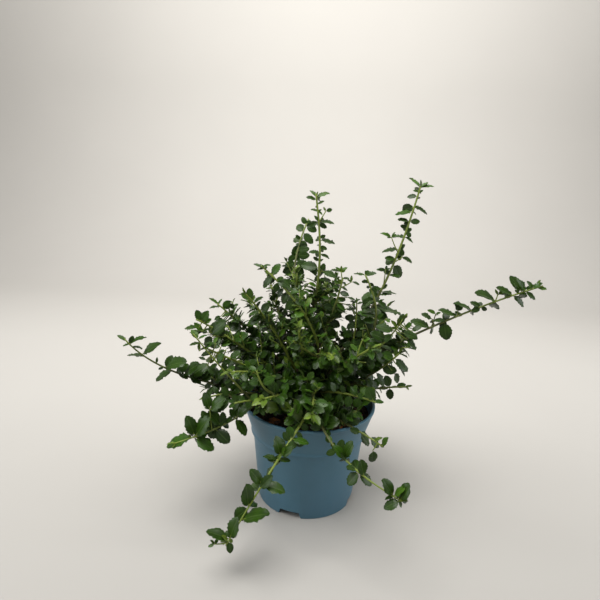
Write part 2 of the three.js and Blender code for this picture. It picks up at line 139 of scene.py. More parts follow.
# The turns that a leaf tries until it has room, how far it faces outward low and high in the crown, and how far
# leaves stand apart for their length.
LEAF_TURNS = (0, 50, -50, 100, -100, 180)
FACING_OUT = (0.8, 0.35)
FACING_FROM, FACING_RISE = 150.0, 90.0
LEAF_APART, TIP_APART = 0.28, 0.1
STALK_RADII = (0.55, 0.42, 0.3)
OUTER_STALK_RADII = (0.55, 0.45, 0.3)
STALK_UNDER_LEAF = 0.1
# Angles off the stem: a node's two leaves, a twig's leaves and its two tip leaves, those at a shoot's tip after
# their size, and those of a tuft after their place along it.
LEAF_OPEN, PAIR_OPEN, TWIG_LEAF_OPEN = 62, 66, 58
TWIG_TIP_OPEN = (18, 38)
TIP_LEAVES = ((1.0, 18), (0.85, 45), (0.6, 30), (0.5, 8))
TIP_TURN = 2.4
TUFT_LEAVES = ((0.6, 40), (1.0, 40), (1.0, 12))
TUFT_TURN = 2.1
TUFT_LENGTH = 11.0
TUFT_RADII = (0.6, 0.4)
# How much lighter leaves are at tips, and how far a twig is on from its stem towards young wood.
TIP_TONE, TWIG_TONE, TWIG_TIP_TONE, TUFT_TONE = 0.5, 0.08, 0.25, 0.15
TWIG_GROWTH = 0.6
# Past SHOWN_TIP a shoot's tip leaves come from the table of outer leaves. A long shoot has leaves on its far
# side too, except the one that is bare there.
SHOWN_TIP = 950
LONG_SHOOT = 170.0
BARE_BEHIND = "long_left"
# Fallen leaves and old bark on the soil: place and size, in metres.
LITTER = (
    (-0.041, -0.036, 0.008), (-0.046, -0.043, 0.006), (-0.037, -0.045, 0.007), (-0.047, -0.008, 0.004),
    (0.068, -0.006, 0.004), (0.038, -0.044, 0.004), (0.060, -0.029, 0.004),
)

# Each shoot leaves the trunk at a height over the soil, sets out towards aim and ends at tip. bare is the
# length of its bough, bushy the share of its leafy stretch that has side twigs, and tone how bright its
# leaves are, from deep (0) to fresh (1).
SHOOTS = (
    ("upright_middle", 58, (5, 0, 245), (-4, -5, 388), 62, 0.2, 0.45),
    ("upright_right", 44, (80, 5, 216), (117, 5, 402), 60, 0.5, 0.3),
    ("long_right", 31, (150, -25, 256), (250, -45, 300), 66, 0.3, 0.25),
    ("upper_left", 45, (38, -45, 215), (-61, -45, 308), 55, 0.6, 0.3),
    # upright_back's low tone is painted shade: its leaves stand at the back of the crown, in shade.
    ("upright_back", 45, (-27, 50, 280), (-13, 85, 354), 55, 0.8, 0.15),
    ("long_left", 20, (-170, -45, 155), (-207, -75, 224), 58, 0.5, 0.25),
    ("left_high", 27, (-115, -10, 222), (-140, -25, 236), 42, 0.8, 0.3),
    ("left_rise", 39, (-85, 20, 215), (-122, 10, 248), 40, 0.8, 0.25),
    ("left_arch", 44, (-60, -20, 245), (-80, -35, 273), 0, 0.8, 0.3),
    ("top_bush", 52, (25, -15, 245), (32, -20, 294), 38, 0.9, 0.42),
    ("top_middle", 54, (-22, -15, 250), (-22, -20, 298), 34, 0.9, 0.4),
    ("right_twin", 38, (90, -30, 208), (57, -30, 300), 42, 0.6, 0.35),
    ("right_bright", 24, (80, -40, 205), (99, -60, 260), 40, 0.7, 0.65),
    ("right_low", 12, (78, 0, 152), (118, -15, 160), 0, 0.6, 0.35),
    ("right_side", 18, (65, -22, 160), (103, -38, 212), 0, 0.8, 0.45),
    ("right_back", 24, (85, 30, 170), (125, 45, 205), 38, 0.8, 0.2),
    ("spill_left", 16, (-75, -68, 166), (-148, -96, 112), 62, 0.6, 0.45),
    ("low_left", 9, (-75, -42, 162), (-120, -62, 153), 0, 0.8, 0.3),
    ("trail_left", 9, (12, -116, 177), (-77, -160, 40), 60, 0.5, 0.5),
    ("trail_right", 29, (6, -112, 150), (96, -152, 97), 60, 0.4, 0.45),
    ("spill_front", 15, (40, -72, 160), (82, -97, 124), 0, 0.6, 0.4),
    ("front_left", 28, (-55, -55, 190), (-86, -85, 196), 0, 0.8, 0.4),
    ("front_middle", 41, (-12, -60, 220), (-15, -90, 250), 0, 0.9, 0.45),
    ("front_right", 33, (40, -60, 205), (62, -95, 235), 0, 0.9, 0.4),
    ("front_low", 22, (-30, -75, 170), (-48, -98, 173), 0, 0.8, 0.3),
    ("front_low_right", 21, (20, -70, 190), (74, -75, 165), 0, 0.8, 0.35),
    ("left_middle", 25, (-75, -38, 185), (-120, -62, 214), 0, 0.8, 0.35),
    ("front_edge", 5, (-45, -60, 160), (-80, -96, 165), 0, 0.8, 0.3),
    ("front_rim", 37, (6, -66, 184), (4, -106, 162), 0, 0.8, 0.35),
    ("front_top", 47, (10, -45, 218), (22, -88, 222), 0, 0.8, 0.4),
    ("back_high", 47, (-50, 45, 230), (-62, 62, 275), 0, 0.8, 0.25),
    ("back_right_low", 27, (75, 55, 175), (122, 78, 172), 0, 0.8, 0.3),
    ("left_back", 33, (-90, 40, 180), (-135, 55, 195), 0, 0.8, 0.3),
    ("back_left", 28, (-60, 65, 215), (-95, 95, 232), 0, 0.8, 0.3),
    ("back_middle", 40, (10, 75, 235), (15, 115, 262), 42, 0.9, 0.35),
    ("back_right", 34, (65, 60, 208), (104, 85, 238), 0, 0.8, 0.3),
    ("back_top", 50, (20, 45, 248), (28, 65, 278), 0, 0.9, 0.25),
    ("back_low_left", 16, (-75, 60, 165), (-112, 95, 140), 0, 0.8, 0.35),
    ("back_low", 14, (-10, 90, 165), (-15, 130, 155), 0, 0.8, 0.35),
    ("back_low_right", 19, (60, 85, 175), (80, 130, 150), 0, 0.8, 0.35),
)
NAME, FOOT, AIM, TIP, BARE, BUSHY, TONE = range(7)

# Side branches that show from the front: the shoot each grows from, at which share of its length, how far the
# branch's aim and tip lie from there, and its radius at the root.
BRANCHES = (
    ("left_side", "spill_left", 0.41, (-36, -11, 42), (-70, -15, 88), 1.3),
    ("left_curl", "front_low", 0.72, (-19, -10, 5), (-25, -14, 33), 2.0),
    ("front_bare", "front_top", 0.50, (-15, -19, 15), (-28, -29, 28), 1.5),
    ("right_fill", "right_twin", 0.33, (8, 0, 40), (5, 4, 76), 1.3),
)

# The share of its length from which a stem shows through the leaves in front of it.
SHOWN_STEMS = {
    "left_arch": 0.05, "upper_left": 0.22, "left_high": 0.16, "front_low_right": 0.1, "trail_left": 0.3,
    "trail_right": 0.4, "upright_right": 0.3, "upright_middle": 0.45, "left_side": 0.0, "left_curl": 0.0,
    "front_bare": 0.0, "long_left": 0.42, "spill_left": 0.4,
}

# The leaves that show from the front. Each shoot starts with the place past which the growth rule leaves it to
# this table, then has its nodes. A node is a place, then the bearing, lean and length of the sprig that grows
# there, if one does, then its leaves. A leaf has bearing, lean, length with its stalk, kind and tone, then the
# percentage of its width that shows, if not all does. Places are thousandths of the shoot's length. Bearings are
# degrees from straight up to the right, and a lean is towards the front.
OLD, MID, NEW = "old", "mid", "young"
OUTER_LEAVES = {
    "upright_right": (400, (336, (120, 5, 8.6), (-133, 1, 18.7, OLD, 1, 89)), (364, (-116, 16, 16.6, OLD, 1),
        (125, -2, 15, OLD, 1, 95)), (395, (-127, 18, 16.8, OLD, 1, 85)), (407, (111, -13, 13.5, MID, 1, 58)),
        (429, (114, 10, 24.2, OLD, 1, 78)), (446, (102, 9, 35.3, MID, 1, 33), (-101, -9, 14.4, MID, 1, 36)),
        (476, (124, 16, 18.1, MID, 1, 64), (-98, 11, 17.8, OLD, 1)), (489, (-47, 14, 15.8, MID, 1, 65)),
        (500, (76, 12, 15.7, MID, 1, 43)), (515, (93, -6, 20.5, MID, 1, 28)), (526, (41, -1, 9.9, MID, 1, 90),
        (-68, 12, 11.7, MID, 1, 77)), (547, (2, 5, 20.2), (-93, -3, 11.1, NEW, 2, 76), (-95, -15, 11.2, NEW, 2, 75),
        (10, 8, 5.3, MID, 2), (-90, 18, 9.2, MID, 1), (132, -9, 8.5, MID, 1), (71, 7, 5.7, NEW, 3)),
        (599, (91, 11, 14.6, MID, 1, 52)), (650, (144, -16, 21.8, OLD, 1, 90)), (661, (53, 5, 11.1),
        (-6, 5, 10.1, MID, 1), (111, 1, 13.9, MID, 1, 63), (113, 14, 6.2, NEW, 2)),
        (679, (-93, 17, 14.5, OLD, 1, 72)), (705, (-28, 5, 20.2), (-66, 10, 14.7, NEW, 3, 57),
        (28, -6, 8, NEW, 3, 76), (-87, -19, 5.6, NEW, 3, 95), (46, 21, 7.1, NEW, 3, 94)),
        (720, (-97, -6, 20.7, MID, 1, 43), (45, -5, 9.2, MID, 1)), (778, (116, 8, 12.8, NEW, 2, 53),
        (-93, -7, 15.1, NEW, 2, 49)), (803, (139, 22, 9, OLD, 1), (64, 12, 7.3, OLD, 1)),
        (818, (-74, 5, 9, OLD, 1)), (847, (88, -1, 12.4, OLD, 1, 91), (-81, 3, 14.3, MID, 1, 52)),
        (889, (-94, -2, 20.4, MID, 2, 43)), (909, (109, -13, 19.4, MID, 1, 44), (73, 12, 5.4, NEW, 3)),
        (956, (-93, -12, 12.1, MID, 1, 82)), (973, (-70, -15, 7.3, NEW, 3, 67), (61, 1, 5.8, NEW, 3),
        (-62, -1, 6.4, NEW, 3, 76)), (993, (78, 5, 15.9, NEW, 3, 45), (-47, -15, 17.5, NEW, 3, 47),
        (53, -8, 11.6, NEW, 3, 56), (-4, 14, 9.5, NEW, 4, 62))),
    "upright_middle": (530, (525, (83, -3, 16, MID, 1, 57)), (547, (27, 5, 7.2), (19, 13, 10, OLD, 1),
        (102, 14, 19.8, OLD, 1, 54)), (571, (-71, -16, 14.6, OLD, 1)), (593, (-84, -15, 22.8, OLD, 1, 94)),
        (633, (-63, 6, 9.1, OLD, 1), (58, 20, 5.3, NEW, 2)), (673, (109, 7, 13.2, MID, 1, 53)),
        (684, (-90, 21, 13.7, MID, 1, 61)), (717, (112, 16, 9.8, MID, 1)), (750, (99, -10, 19.2, MID, 1, 53)),
        (762, (67, -11, 7.7, MID, 1)), (842, (118, 12, 10.9, MID, 1)), (849, (30, 5, 15.1), (-33, -10, 5.6, NEW, 4),
        (73, -11, 8, MID, 2)), (852, (-116, 5, 15.4, MID, 1, 99), (-37, 19, 9.1, NEW, 2, 93),
        (91, 12, 18.6, MID, 1, 41)), (910, (128, 7, 7.4, NEW, 3, 73), (-78, 4, 8.6, NEW, 3, 86),
        (72, -2, 5, NEW, 3)), (943, (58, -7, 9.6, NEW, 3, 77)), (970, (-76, 17, 12.8, MID, 1, 59)),
        (983, (-41, -12, 11.5, NEW, 3, 73), (66, -6, 16.4, NEW, 3, 71), (9, 10, 7, NEW, 4, 77))),
    "upright_back": (660, (664, (121, -9, 15.5, OLD, 1)), (675, (-123, 4, 18.7, OLD, 0)),
        (703, (-115, 17, 16, OLD, 1), (104, 21, 19.8, OLD, 1)), (744, (-121, 9, 13, OLD, 1), (87, 2, 17.6, OLD, 1)),
        (775, (76, -3, 16.3, OLD, 1, 97), (28, -16, 13.1, OLD, 0)), (797, (65, -6, 12.2, MID, 0)),
        (808, (120, 10, 11.8, OLD, 1)), (826, (-164, -13, 25.3, OLD, 1)), (850, (-47, 10, 9.2, MID, 1),
        (141, 6, 13.8, OLD, 1)), (903, (136, 17, 20.5, OLD, 1)), (955, (43, -10, 9.1, MID, 1),
        (116, 9, 16.8, OLD, 1), (-26, -10, 12.4, OLD, 1))),
    "long_right": (460, (565, (-67, 8, 25.9, OLD, 1, 57)), (570, (9, 5, 16.6), (-61, 4, 11, NEW, 3, 89),
        (71, -10, 6.6, NEW, 3, 99)), (583, (-27, 5, 9.2), (-66, 3, 14.3, MID, 1, 60)),
        (622, (169, 8, 22.2, OLD, 1)), (634, (-148, -13, 13.5, OLD, 0, 99), (-90, 2, 15.7, OLD, 1, 60)),
        (674, (-71, 1, 23, MID, 1, 51), (-53, -2, 6.4, NEW, 2)), (677, (-3, 5, 6.1), (28, 3, 9.1, MID, 2),
        (-24, 12, 11.2, MID, 2, 69)), (677, (40, -17, 5.4, NEW, 2)), (737, (-70, 3, 24.1, MID, 1, 28)),
        (748, (-12, -3, 6.2, NEW, 2, 82)), (770, (-119, 11, 11.6, OLD, 1), (116, -2, 8.8, MID, 1),
        (-67, -11, 13, MID, 1, 77)), (825, (13, 5, 8.6), (-34, -2, 7, NEW, 4), (50, -4, 8.7, NEW, 4),
        (77, -4, 10.6, MID, 1, 57)), (829, (-62, 16, 30, MID, 1, 38)), (892, (127, 5, 18.4, MID, 1, 59),
        (-64, 1, 20.9, MID, 1, 56)), (914, (84, 13, 8.3, NEW, 3, 82), (-29, 4, 13.6, NEW, 3, 46)),
        (926, (-33, -16, 22.5, MID, 1, 83), (-29, 17, 19.8, NEW, 3, 39)), (938, (126, 24, 13.9, MID, 1, 67),
        (-40, 14, 18.3, MID, 2, 51)), (964, (41, 12, 11.9, MID, 2, 77), (-39, 13, 12.5, NEW, 3, 74)),
        (979, (91, 17, 10.5, NEW, 3, 88), (18, -8, 9.7, NEW, 4, 79))),
    "long_left": (480, (480, (72, -14, 17.4, OLD, 0, 93)), (493, (48, 17, 21.6, OLD, 0, 75),
        (-135, -10, 11.7, OLD, 0)), (531, (40, -5, 19.3, OLD, 0, 83), (-55, 3, 33.1, OLD, 1, 55)),
        (554, (60, -2, 19.1, OLD, 1, 84)), (566, (-49, -9, 11.7, OLD, 0)), (581, (56, -13, 22.5, OLD, 0, 81)),
        (598, (8, -16, 6.9, NEW, 2)), (610, (114, 3, 15.3, MID, 1, 82), (49, -9, 26.4, OLD, 1, 77)),
        (634, (39, -7, 14.8, OLD, 1, 92)), (645, (43, 17, 28.7, OLD, 1, 63), (-9, 10, 6.3, NEW, 2)),
        (675, (114, 9, 14.1, MID, 1, 70)), (688, (55, -1, 18.5, OLD, 1, 85)), (706, (-120, -2, 24.5, MID, 1, 60)),
        (721, (34, -5, 19, OLD, 1, 94)), (741, (22, -11, 16.3, OLD, 1, 96)), (751, (65, 9, 30.4, OLD, 1, 66),
        (-109, 0, 7.9, NEW, 2)), (795, (7, -15, 7.4, NEW, 3)), (861, (-81, 5, 20, MID, 1, 32)),
        (882, (53, 6, 26.7, MID, 1, 54)), (947, (99, -5, 12.1, NEW, 2, 52)), (962, (21, -8, 10.6, MID, 1),
        (-103, -4, 9.1, NEW, 3, 69), (53, 5, 21.6, NEW, 2, 39)), (984, (-53, 1, 12.4, NEW, 3, 80))),
    "left_high": (780, (384, (-147, -5, 14.7, OLD, 1, 89)), (429, (57, 10, 16.2, OLD, 1, 81)),
        (501, (-142, -2, 15.1, OLD, 1, 94), (18, 8, 17.4, OLD, 2, 94)), (566, (-38, -3, 13.2, MID, 2, 91)),
        (593, (-145, -8, 17.1, OLD, 1, 77)), (632, (-139, -7, 12.4, OLD, 1, 87)), (674, (-65, -1, 16.9, OLD, 2),
        (60, 15, 22.8, OLD, 2, 90)), (808, (123, -15, 19.8, OLD, 1, 98)), (821, (-151, 5, 8.6),
        (-141, -16, 19.5, OLD, 1, 99)), (833, (-152, 5, 8.2), (69, 3, 18.4, OLD, 1)), (849, (-151, 5, 8.3),
        (45, 18, 29.3, OLD, 1, 88)), (860, (-151, 5, 7.9), (-91, -15, 26.1, MID, 1, 41)), (903, (-146, 5, 10.7),
        (-38, 5, 15.2, MID, 3, 77), (59, -12, 10.3, NEW, 2, 55), (-108, 14, 12.5, MID, 1, 56)),
        (929, (49, 19, 12.2, MID, 3, 77), (33, 16, 5.6, NEW, 5), (-39, 3, 5.9, NEW, 5)), (951, (-156, 5, 8.2),
        (-94, -12, 19.6, OLD, 1, 54)), (954, (31, 16, 18, OLD, 2, 94), (-21, 9, 16, OLD, 2))),
    "left_rise": (830, (833, (-141, 5, 10.9), (111, 20, 23.4, OLD, 1, 96)), (854, (-142, 5, 11.6),
        (-131, 5, 26.5, OLD, 1)), (866, (-142, 5, 9.6), (-117, -16, 13.7, MID, 1)), (892, (-143, 5, 9.3),
        (58, 16, 14.1, NEW, 2, 70)), (903, (-142, 5, 9.2), (-120, 0, 10.9, NEW, 2, 90)),
        (947, (80, -12, 12.1, MID, 2), (50, 3, 14.1, OLD, 2)), (960, (-92, 14, 14.5, MID, 2, 44)),
        (978, (-47, 13, 15.9, NEW, 3, 62)), (989, (28, 2, 8.8, NEW, 3, 74))),
    "left_arch": (710, (711, (129, 5, 13.5, OLD, 1)), (735, (-129, 9, 18.9, OLD, 1, 88),
        (-110, 4, 17.2, OLD, 1, 60)), (776, (48, 9, 15.5, OLD, 1, 94), (-104, 18, 14.3, MID, 2, 48)),
        (833, (-103, 9, 8.9, MID, 2, 77)), (881, (53, 4, 14, MID, 1, 48)), (909, (29, 9, 7.8, NEW, 4, 95)),
        (923, (-59, -4, 13.4, MID, 3), (-7, 12, 14.2, OLD, 3))),
    "upper_left": (700, (698, (-139, 18, 14.5, OLD, 1), (108, 17, 12.2, OLD, 1, 98)),
        (751, (74, 11, 12.7, MID, 2, 51)), (764, (-155, -14, 17, OLD, 1, 81)), (803, (-146, -4, 12.5, MID, 1, 87),
        (34, -2, 12.1, OLD, 1)), (854, (-166, 8, 12.5, OLD, 1)), (872, (109, 8, 18.2, OLD, 1, 86),
        (69, 16, 9.4, MID, 2, 92)), (907, (25, 1, 16.2, OLD, 2, 85), (-144, -16, 19.3, OLD, 1, 71),
        (-145, 4, 12, OLD, 1, 81)), (973, (-96, 7, 8.3, NEW, 2, 69), (-61, -5, 13.2, NEW, 2, 65),
        (-26, 13, 5.5, NEW, 3, 83)), (992, (72, 9, 10.2, NEW, 2, 56))),
    "trail_left": (360, (324, (92, -11, 10.9, OLD, 1)), (346, (134, -9, 12.1, OLD, 1)),
        (356, (-49, 4, 9.6, MID, 1)), (400, (131, 20, 10.5, MID, 1)), (449, (-11, -1, 15.1, OLD, 2),
        (116, -1, 15.6, OLD, 1), (93, 5, 19.6, OLD, 2, 62)), (466, (-36, -7, 12.4, OLD, 1)),
        (497, (75, -19, 13.2, OLD, 1), (-42, 13, 15.7, OLD, 1, 95)), (546, (22, 1, 11.1, MID, 3, 73),
        (-13, -3, 23, OLD, 1, 72), (44, 8, 19, OLD, 1, 87)), (568, (21, 8, 9, NEW, 5, 89),
        (94, -12, 13.6, MID, 1, 74), (-83, 7, 11.2, MID, 1, 99), (-78, -7, 16.4, MID, 1, 61)),
        (600, (-144, 12, 12.6, MID, 1, 80)), (695, (-31, 6, 21.5, OLD, 1, 92), (95, 8, 24.7, OLD, 1, 80)),
        (718, (34, 4, 21.2, OLD, 1, 93)), (809, (-2, 6, 27.6, OLD, 1, 78), (-133, 4, 20.1, OLD, 1)),
        (872, (59, 8, 31.8, OLD, 1, 61)), (967, (15, 2, 25.4, OLD, 1, 77), (-69, 2, 25.1, OLD, 1, 77)),
        (978, (-32, 17, 11.4, NEW, 5, 68), (162, 12, 12.7, OLD, 1), (-104, -12, 9.5, NEW, 5, 66),
        (-131, -12, 9.1, NEW, 4, 68)), (985, (-98, 5, 13.1), (-103, 21, 7, MID, 3, 88),
        (-44, -2, 6.3, NEW, 4, 83))),
    "trail_right": (400, (419, (-90, -4, 14.3, OLD, 1), (-31, 7, 17.4, OLD, 2), (9, 8, 23, OLD, 2, 55)),
        (432, (121, 8, 10.1, MID, 2)), (469, (157, 5, 10.4, MID, 2)), (531, (130, 11, 9.6, NEW, 3)),
        (564, (147, -1, 11.7, MID, 1, 88)), (580, (40, -5, 9.8, NEW, 3), (-111, 12, 12.2, OLD, 1)),
        (592, (19, 0, 14.9, OLD, 1)), (642, (14, 6, 22.9, OLD, 1, 68), (-38, 6, 19.6, MID, 2, 72)),
        (659, (-26, 15, 12.6, MID, 1, 80)), (696, (-131, 22, 6.2, MID, 1)), (729, (-59, 16, 12.7, MID, 1, 65)),
        (745, (129, 6, 19.9, OLD, 1, 86), (-143, 4, 18.5, OLD, 1, 92)), (781, (-15, 2, 19.4, OLD, 1, 88)),
        (955, (-29, 6, 23.6, OLD, 1, 84), (-118, -12, 10.2, MID, 1, 64), (34, 7, 16.2, MID, 3, 65)),
        (976, (147, -1, 11.3, MID, 2, 67)), (991, (-115, 6, 18.3, OLD, 1, 90), (44, 10, 6.7, NEW, 5, 94),
        (16, 4, 20.8, OLD, 1, 79), (76, 19, 7.9, NEW, 4, 77), (-22, -11, 6.6, NEW, 4, 91))),
    "spill_front": (600, (766, (143, -11, 22.4, OLD, 1, 66)), (780, (-82, -11, 13, MID, 1),
        (157, -7, 15.2, MID, 1, 71)), (872, (136, -15, 18.1, OLD, 1, 81)), (914, (53, 15, 10.4, NEW, 4, 82)),
        (951, (-150, 5, 9.4), (175, -8, 17.5, OLD, 1, 94)), (965, (124, -9, 7.8, NEW, 4)),
        (993, (17, 19, 14.7, MID, 3, 72))),
    "spill_left": (380, (500, (-41, 5, 26.7), (-116, 2, 16.9, OLD, 1, 99), (-46, 6, 14, OLD, 1),
        (126, 5, 19.5, OLD, 0, 97), (-112, -10, 14.5, MID, 1, 67)), (568, (39, 13, 24.8, MID, 1, 80)),
        (580, (135, 21, 23.4, OLD, 1, 76), (-28, 13, 14.3, MID, 1, 89)), (657, (40, -14, 13.2, MID, 1, 87)),
        (672, (-1, -5, 15.7, OLD, 1), (-132, 1, 23.9, OLD, 1)), (684, (-31, 8, 23.5, OLD, 1, 79)),
        (706, (27, -14, 12.8, OLD, 1, 97)), (726, (-27, -19, 14.4, OLD, 1), (127, 16, 22.9, OLD, 0)),
        (744, (-35, 17, 18.4, OLD, 1, 79)), (749, (-4, 5, 25.8), (-18, -10, 21.1, OLD, 1, 87),
        (39, 15, 24.5, OLD, 1, 75), (62, 1, 23.9, OLD, 1, 94)), (756, (-20, 5, 11.8), (-21, 6, 14.3, MID, 1, 95)),
        (864, (31, 6, 31.6, OLD, 1, 71), (-13, 4, 26.8, OLD, 1, 91), (119, 6, 26.3, OLD, 2, 82)),
        (874, (-108, 4, 32.3, OLD, 2, 66)), (885, (-43, 2, 5.4, NEW, 5), (-98, 22, 4.8, NEW, 5))),
    "right_bright": (550, (543, (-46, -18, 13.1, OLD, 2, 94)), (568, (140, 19, 14.9, OLD, 1, 96)),
        (582, (-88, -9, 17.5, OLD, 1, 93)), (616, (-64, 20, 23.3, OLD, 1, 74), (-127, -10, 19.1, OLD, 0, 96)),
        (652, (-50, -19, 15.5, OLD, 1, 85), (134, -8, 19.3, OLD, 1, 89)), (689, (-53, 9, 13.4, MID, 2, 83)),
        (712, (99, 4, 13.6, MID, 1, 57)), (753, (-76, 11, 17.2, OLD, 1, 75)), (774, (-32, 7, 10.7, NEW, 4)),
        (785, (-64, 12, 21.8, OLD, 1, 77)), (847, (-134, 8, 12.6, MID, 3, 85)), (879, (-73, 11, 22.5, OLD, 1, 65)),
        (884, (125, 5, 15.6), (131, -9, 18.9, MID, 1, 57)), (900, (124, 5, 7.9), (108, -14, 20.9, OLD, 1, 74)),
        (908, (-98, -3, 7.6, NEW, 4), (106, 2, 7.4, MID, 3, 86), (-38, 13, 11.7, NEW, 4, 73)),
        (921, (36, 3, 8.8, NEW, 4, 80), (-5, 19, 11.3, NEW, 4, 75)), (935, (121, 5, 7.9),
        (34, 16, 10.6, MID, 2, 80)), (939, (12, 14, 14, OLD, 1, 89)), (949, (122, 5, 14.6),
        (58, 2, 12.8, OLD, 1, 75))),
    "right_side": (550, (582, (-50, 13, 16.7, OLD, 1, 76)), (595, (154, 8, 17, OLD, 1, 87)),
        (622, (-82, 0, 14.3, OLD, 2)), (656, (-66, -19, 14.7, OLD, 1, 93)), (676, (25, 9, 14.9, MID, 2, 77)),
        (700, (144, 12, 21, OLD, 1, 60)), (764, (91, 21, 18.6, OLD, 1)), (794, (-69, -5, 15.2, MID, 2, 90)),
        (824, (-50, 18, 9.8, NEW, 4, 93)), (836, (140, 5, 13.9), (149, -14, 16.1, OLD, 1, 77)),
        (856, (-86, -14, 12.6, NEW, 3, 96)), (898, (-63, 18, 12.8, MID, 3, 70)), (903, (137, 5, 10.2),
        (141, -1, 15.7, MID, 1, 26)), (925, (133, 0, 23.9, OLD, 1, 60), (-71, -5, 16.1, MID, 2, 98)),
        (938, (-1, -2, 10.4, NEW, 4))),
    "right_low": (620, (637, (-65, -9, 13.7, OLD, 1, 97)), (691, (-138, -1, 14.6, OLD, 1, 90)),
        (723, (-50, 14, 17.8, OLD, 1, 74)), (836, (-25, -2, 16.5, OLD, 1, 98), (176, 7, 16.4, OLD, 1)),
        (847, (85, -16, 10.1, NEW, 3, 51)), (899, (73, -12, 13.5, MID, 2, 97))),
    "front_low_right": (300, (369, (-149, -5, 15.8, OLD, 1, 79)), (435, (-32, -6, 13, MID, 2)),
        (512, (-152, 11, 14.4, OLD, 2, 98)), (579, (-28, 16, 15.6, OLD, 2, 77)), (646, (-157, 6, 13.9, OLD, 2)),
        (691, (-35, -8, 11.4, OLD, 2)), (743, (30, -6, 13.1, MID, 3, 99), (-164, 12, 15.2, OLD, 2)),
        (813, (-34, 6, 14.2, MID, 2, 76)), (835, (-166, -12, 15.4, OLD, 2)), (850, (18, -9, 12.9, MID, 3, 83)),
        (909, (-66, -9, 12, MID, 2)), (959, (-119, -16, 13.1, MID, 2, 81)), (978, (-25, 8, 20.6, OLD, 2),
        (91, -9, 11.6, MID, 2, 83))),
    "top_bush": (700, (476, (119, -16, 16, OLD, 1)), (487, (-106, 14, 13.6, OLD, 0)),
        (570, (118, -14, 15.6, OLD, 0), (-85, -13, 13.2, OLD, 0)), (653, (114, -9, 13.1, MID, 1, 96),
        (77, -6, 12.9, OLD, 1, 97)), (683, (-117, -13, 11.3, MID, 1)), (700, (-79, 11, 13.4, OLD, 0),
        (99, 18, 14.6, MID, 1, 41)), (723, (-88, -11, 10.3, MID, 2)), (755, (121, 16, 14, MID, 2, 73)),
        (766, (98, 5, 18.1), (48, 3, 12.6, MID, 1, 47), (-88, 18, 6.7, MID, 1, 68), (122, 2, 7.7, MID, 1, 59)),
        (792, (-129, -10, 9.4, MID, 2)), (806, (108, 6, 10.1, MID, 2)), (814, (89, 5, 10.6),
        (102, -7, 11.2, MID, 1, 48)), (823, (-78, 1, 10.4, MID, 2, 98)), (864, (-62, -1, 7.3, MID, 3),
        (105, 21, 12.4, MID, 1, 91)), (901, (-73, 20, 10, MID, 2, 63)), (905, (57, 5, 14.8), (-4, -1, 7.5, NEW, 4),
        (100, 7, 10.2, MID, 1, 53), (-64, 12, 5.8, MID, 2, 76)), (911, (113, -15, 10.3, MID, 1, 48)),
        (941, (-36, 2, 9.1, NEW, 4, 82), (-64, 12, 8.8, MID, 3, 77)), (961, (124, -15, 8.3, MID, 2, 71)),
        (979, (-11, 5, 9.7), (-47, 11, 9.2, NEW, 3, 71), (45, -6, 9.1, MID, 3, 73), (-3, -4, 7.4, NEW, 4),
        (64, 14, 5.4, NEW, 4), (-72, 20, 13.5, MID, 1, 33)), (988, (77, -15, 8.6, MID, 2, 63))),
    "right_twin": (660, (630, (-126, -15, 11.8, OLD, 1)), (654, (126, -14, 12.2, MID, 1, 93)),
        (682, (-87, 3, 15.1, MID, 2, 89)), (704, (49, 21, 10.7, MID, 1, 83)), (718, (-81, 3, 22.4, MID, 2, 55)),
        (754, (-96, 3, 17.3, MID, 1, 44)), (766, (-86, 9, 7.6, MID, 1, 58)), (828, (-121, 14, 14.5, MID, 1, 34)),
        (916, (119, 18, 8.8, MID, 1)), (946, (119, -10, 7.5, MID, 1)), (963, (-108, -3, 7.4, MID, 1)),
        (1000, (-82, -16, 13.8, MID, 1, 41), (66, 20, 13, MID, 1, 60), (-5, 13, 5.9, NEW, 3, 89))),
    "left_middle": (550, (600, (52, 19, 15.9, OLD, 1, 92), (-152, -4, 16.3, OLD, 1, 89)),
        (658, (-150, -9, 15.8, OLD, 1, 92)), (703, (-130, -11, 15.6, OLD, 1, 79)),
        (741, (-119, -2, 15.7, MID, 1, 86)), (773, (59, -8, 15.5, MID, 1, 80)), (796, (-121, -3, 14.6, MID, 1, 84)),
        (818, (-157, 5, 7.5), (153, 11, 12.1, OLD, 1)), (830, (22, 5, 8.1), (-121, -6, 19.3, MID, 1, 57)),
        (881, (22, 5, 8.9), (-80, 7, 13.4, MID, 1, 91)), (887, (-158, 5, 7.6), (-130, -3, 8.9, NEW, 5)),
        (907, (-159, 5, 7.4), (-118, -7, 10.2, MID, 3, 87)), (924, (-111, 13, 10.2, MID, 3, 76),
        (-108, 6, 15.1, MID, 1, 66)), (926, (-158, 5, 18.9), (128, 16, 12.2, OLD, 1, 99)), (933, (22, 5, 10.3),
        (-89, 12, 12.9, MID, 1, 44))),
    "low_left": (450, (516, (-118, 2, 15.9, OLD, 1)), (524, (4, 5, 12.7), (-114, -11, 20.7, OLD, 2)),
        (588, (-142, 6, 14, OLD, 1)), (648, (-37, 9, 14.4, OLD, 1)), (678, (-151, -9, 19.6, OLD, 0)),
        (750, (175, 5, 8.4), (-110, -4, 15.8, MID, 1, 65)), (762, (-103, 20, 19.2, OLD, 1)),
        (792, (-27, 14, 15.4, OLD, 1, 81)), (822, (-6, 5, 9.1), (53, 5, 12.7, OLD, 1)),
        (877, (-40, -9, 12.4, OLD, 1, 99))),
    # The broad old leaf at 690 on front_edge has tone 4, lighter than an old leaf's own: painted light that makes
    # up for the shade it lies in.
    "front_edge": (620, (592, (60, -10, 12.6, OLD, 1)), (676, (30, 0, 14, OLD, 1)), (690, (-156, 5, 8),
        (92, 4, 24.5, OLD, 4, 90)), (805, (-149, -14, 14.9, OLD, 2, 92)), (829, (43, 7, 12.2, MID, 3)),
        (877, (-67, -16, 11.3, OLD, 1)), (946, (-135, -14, 14.3, OLD, 1, 93)), (956, (-40, 2, 10.9, OLD, 1)),
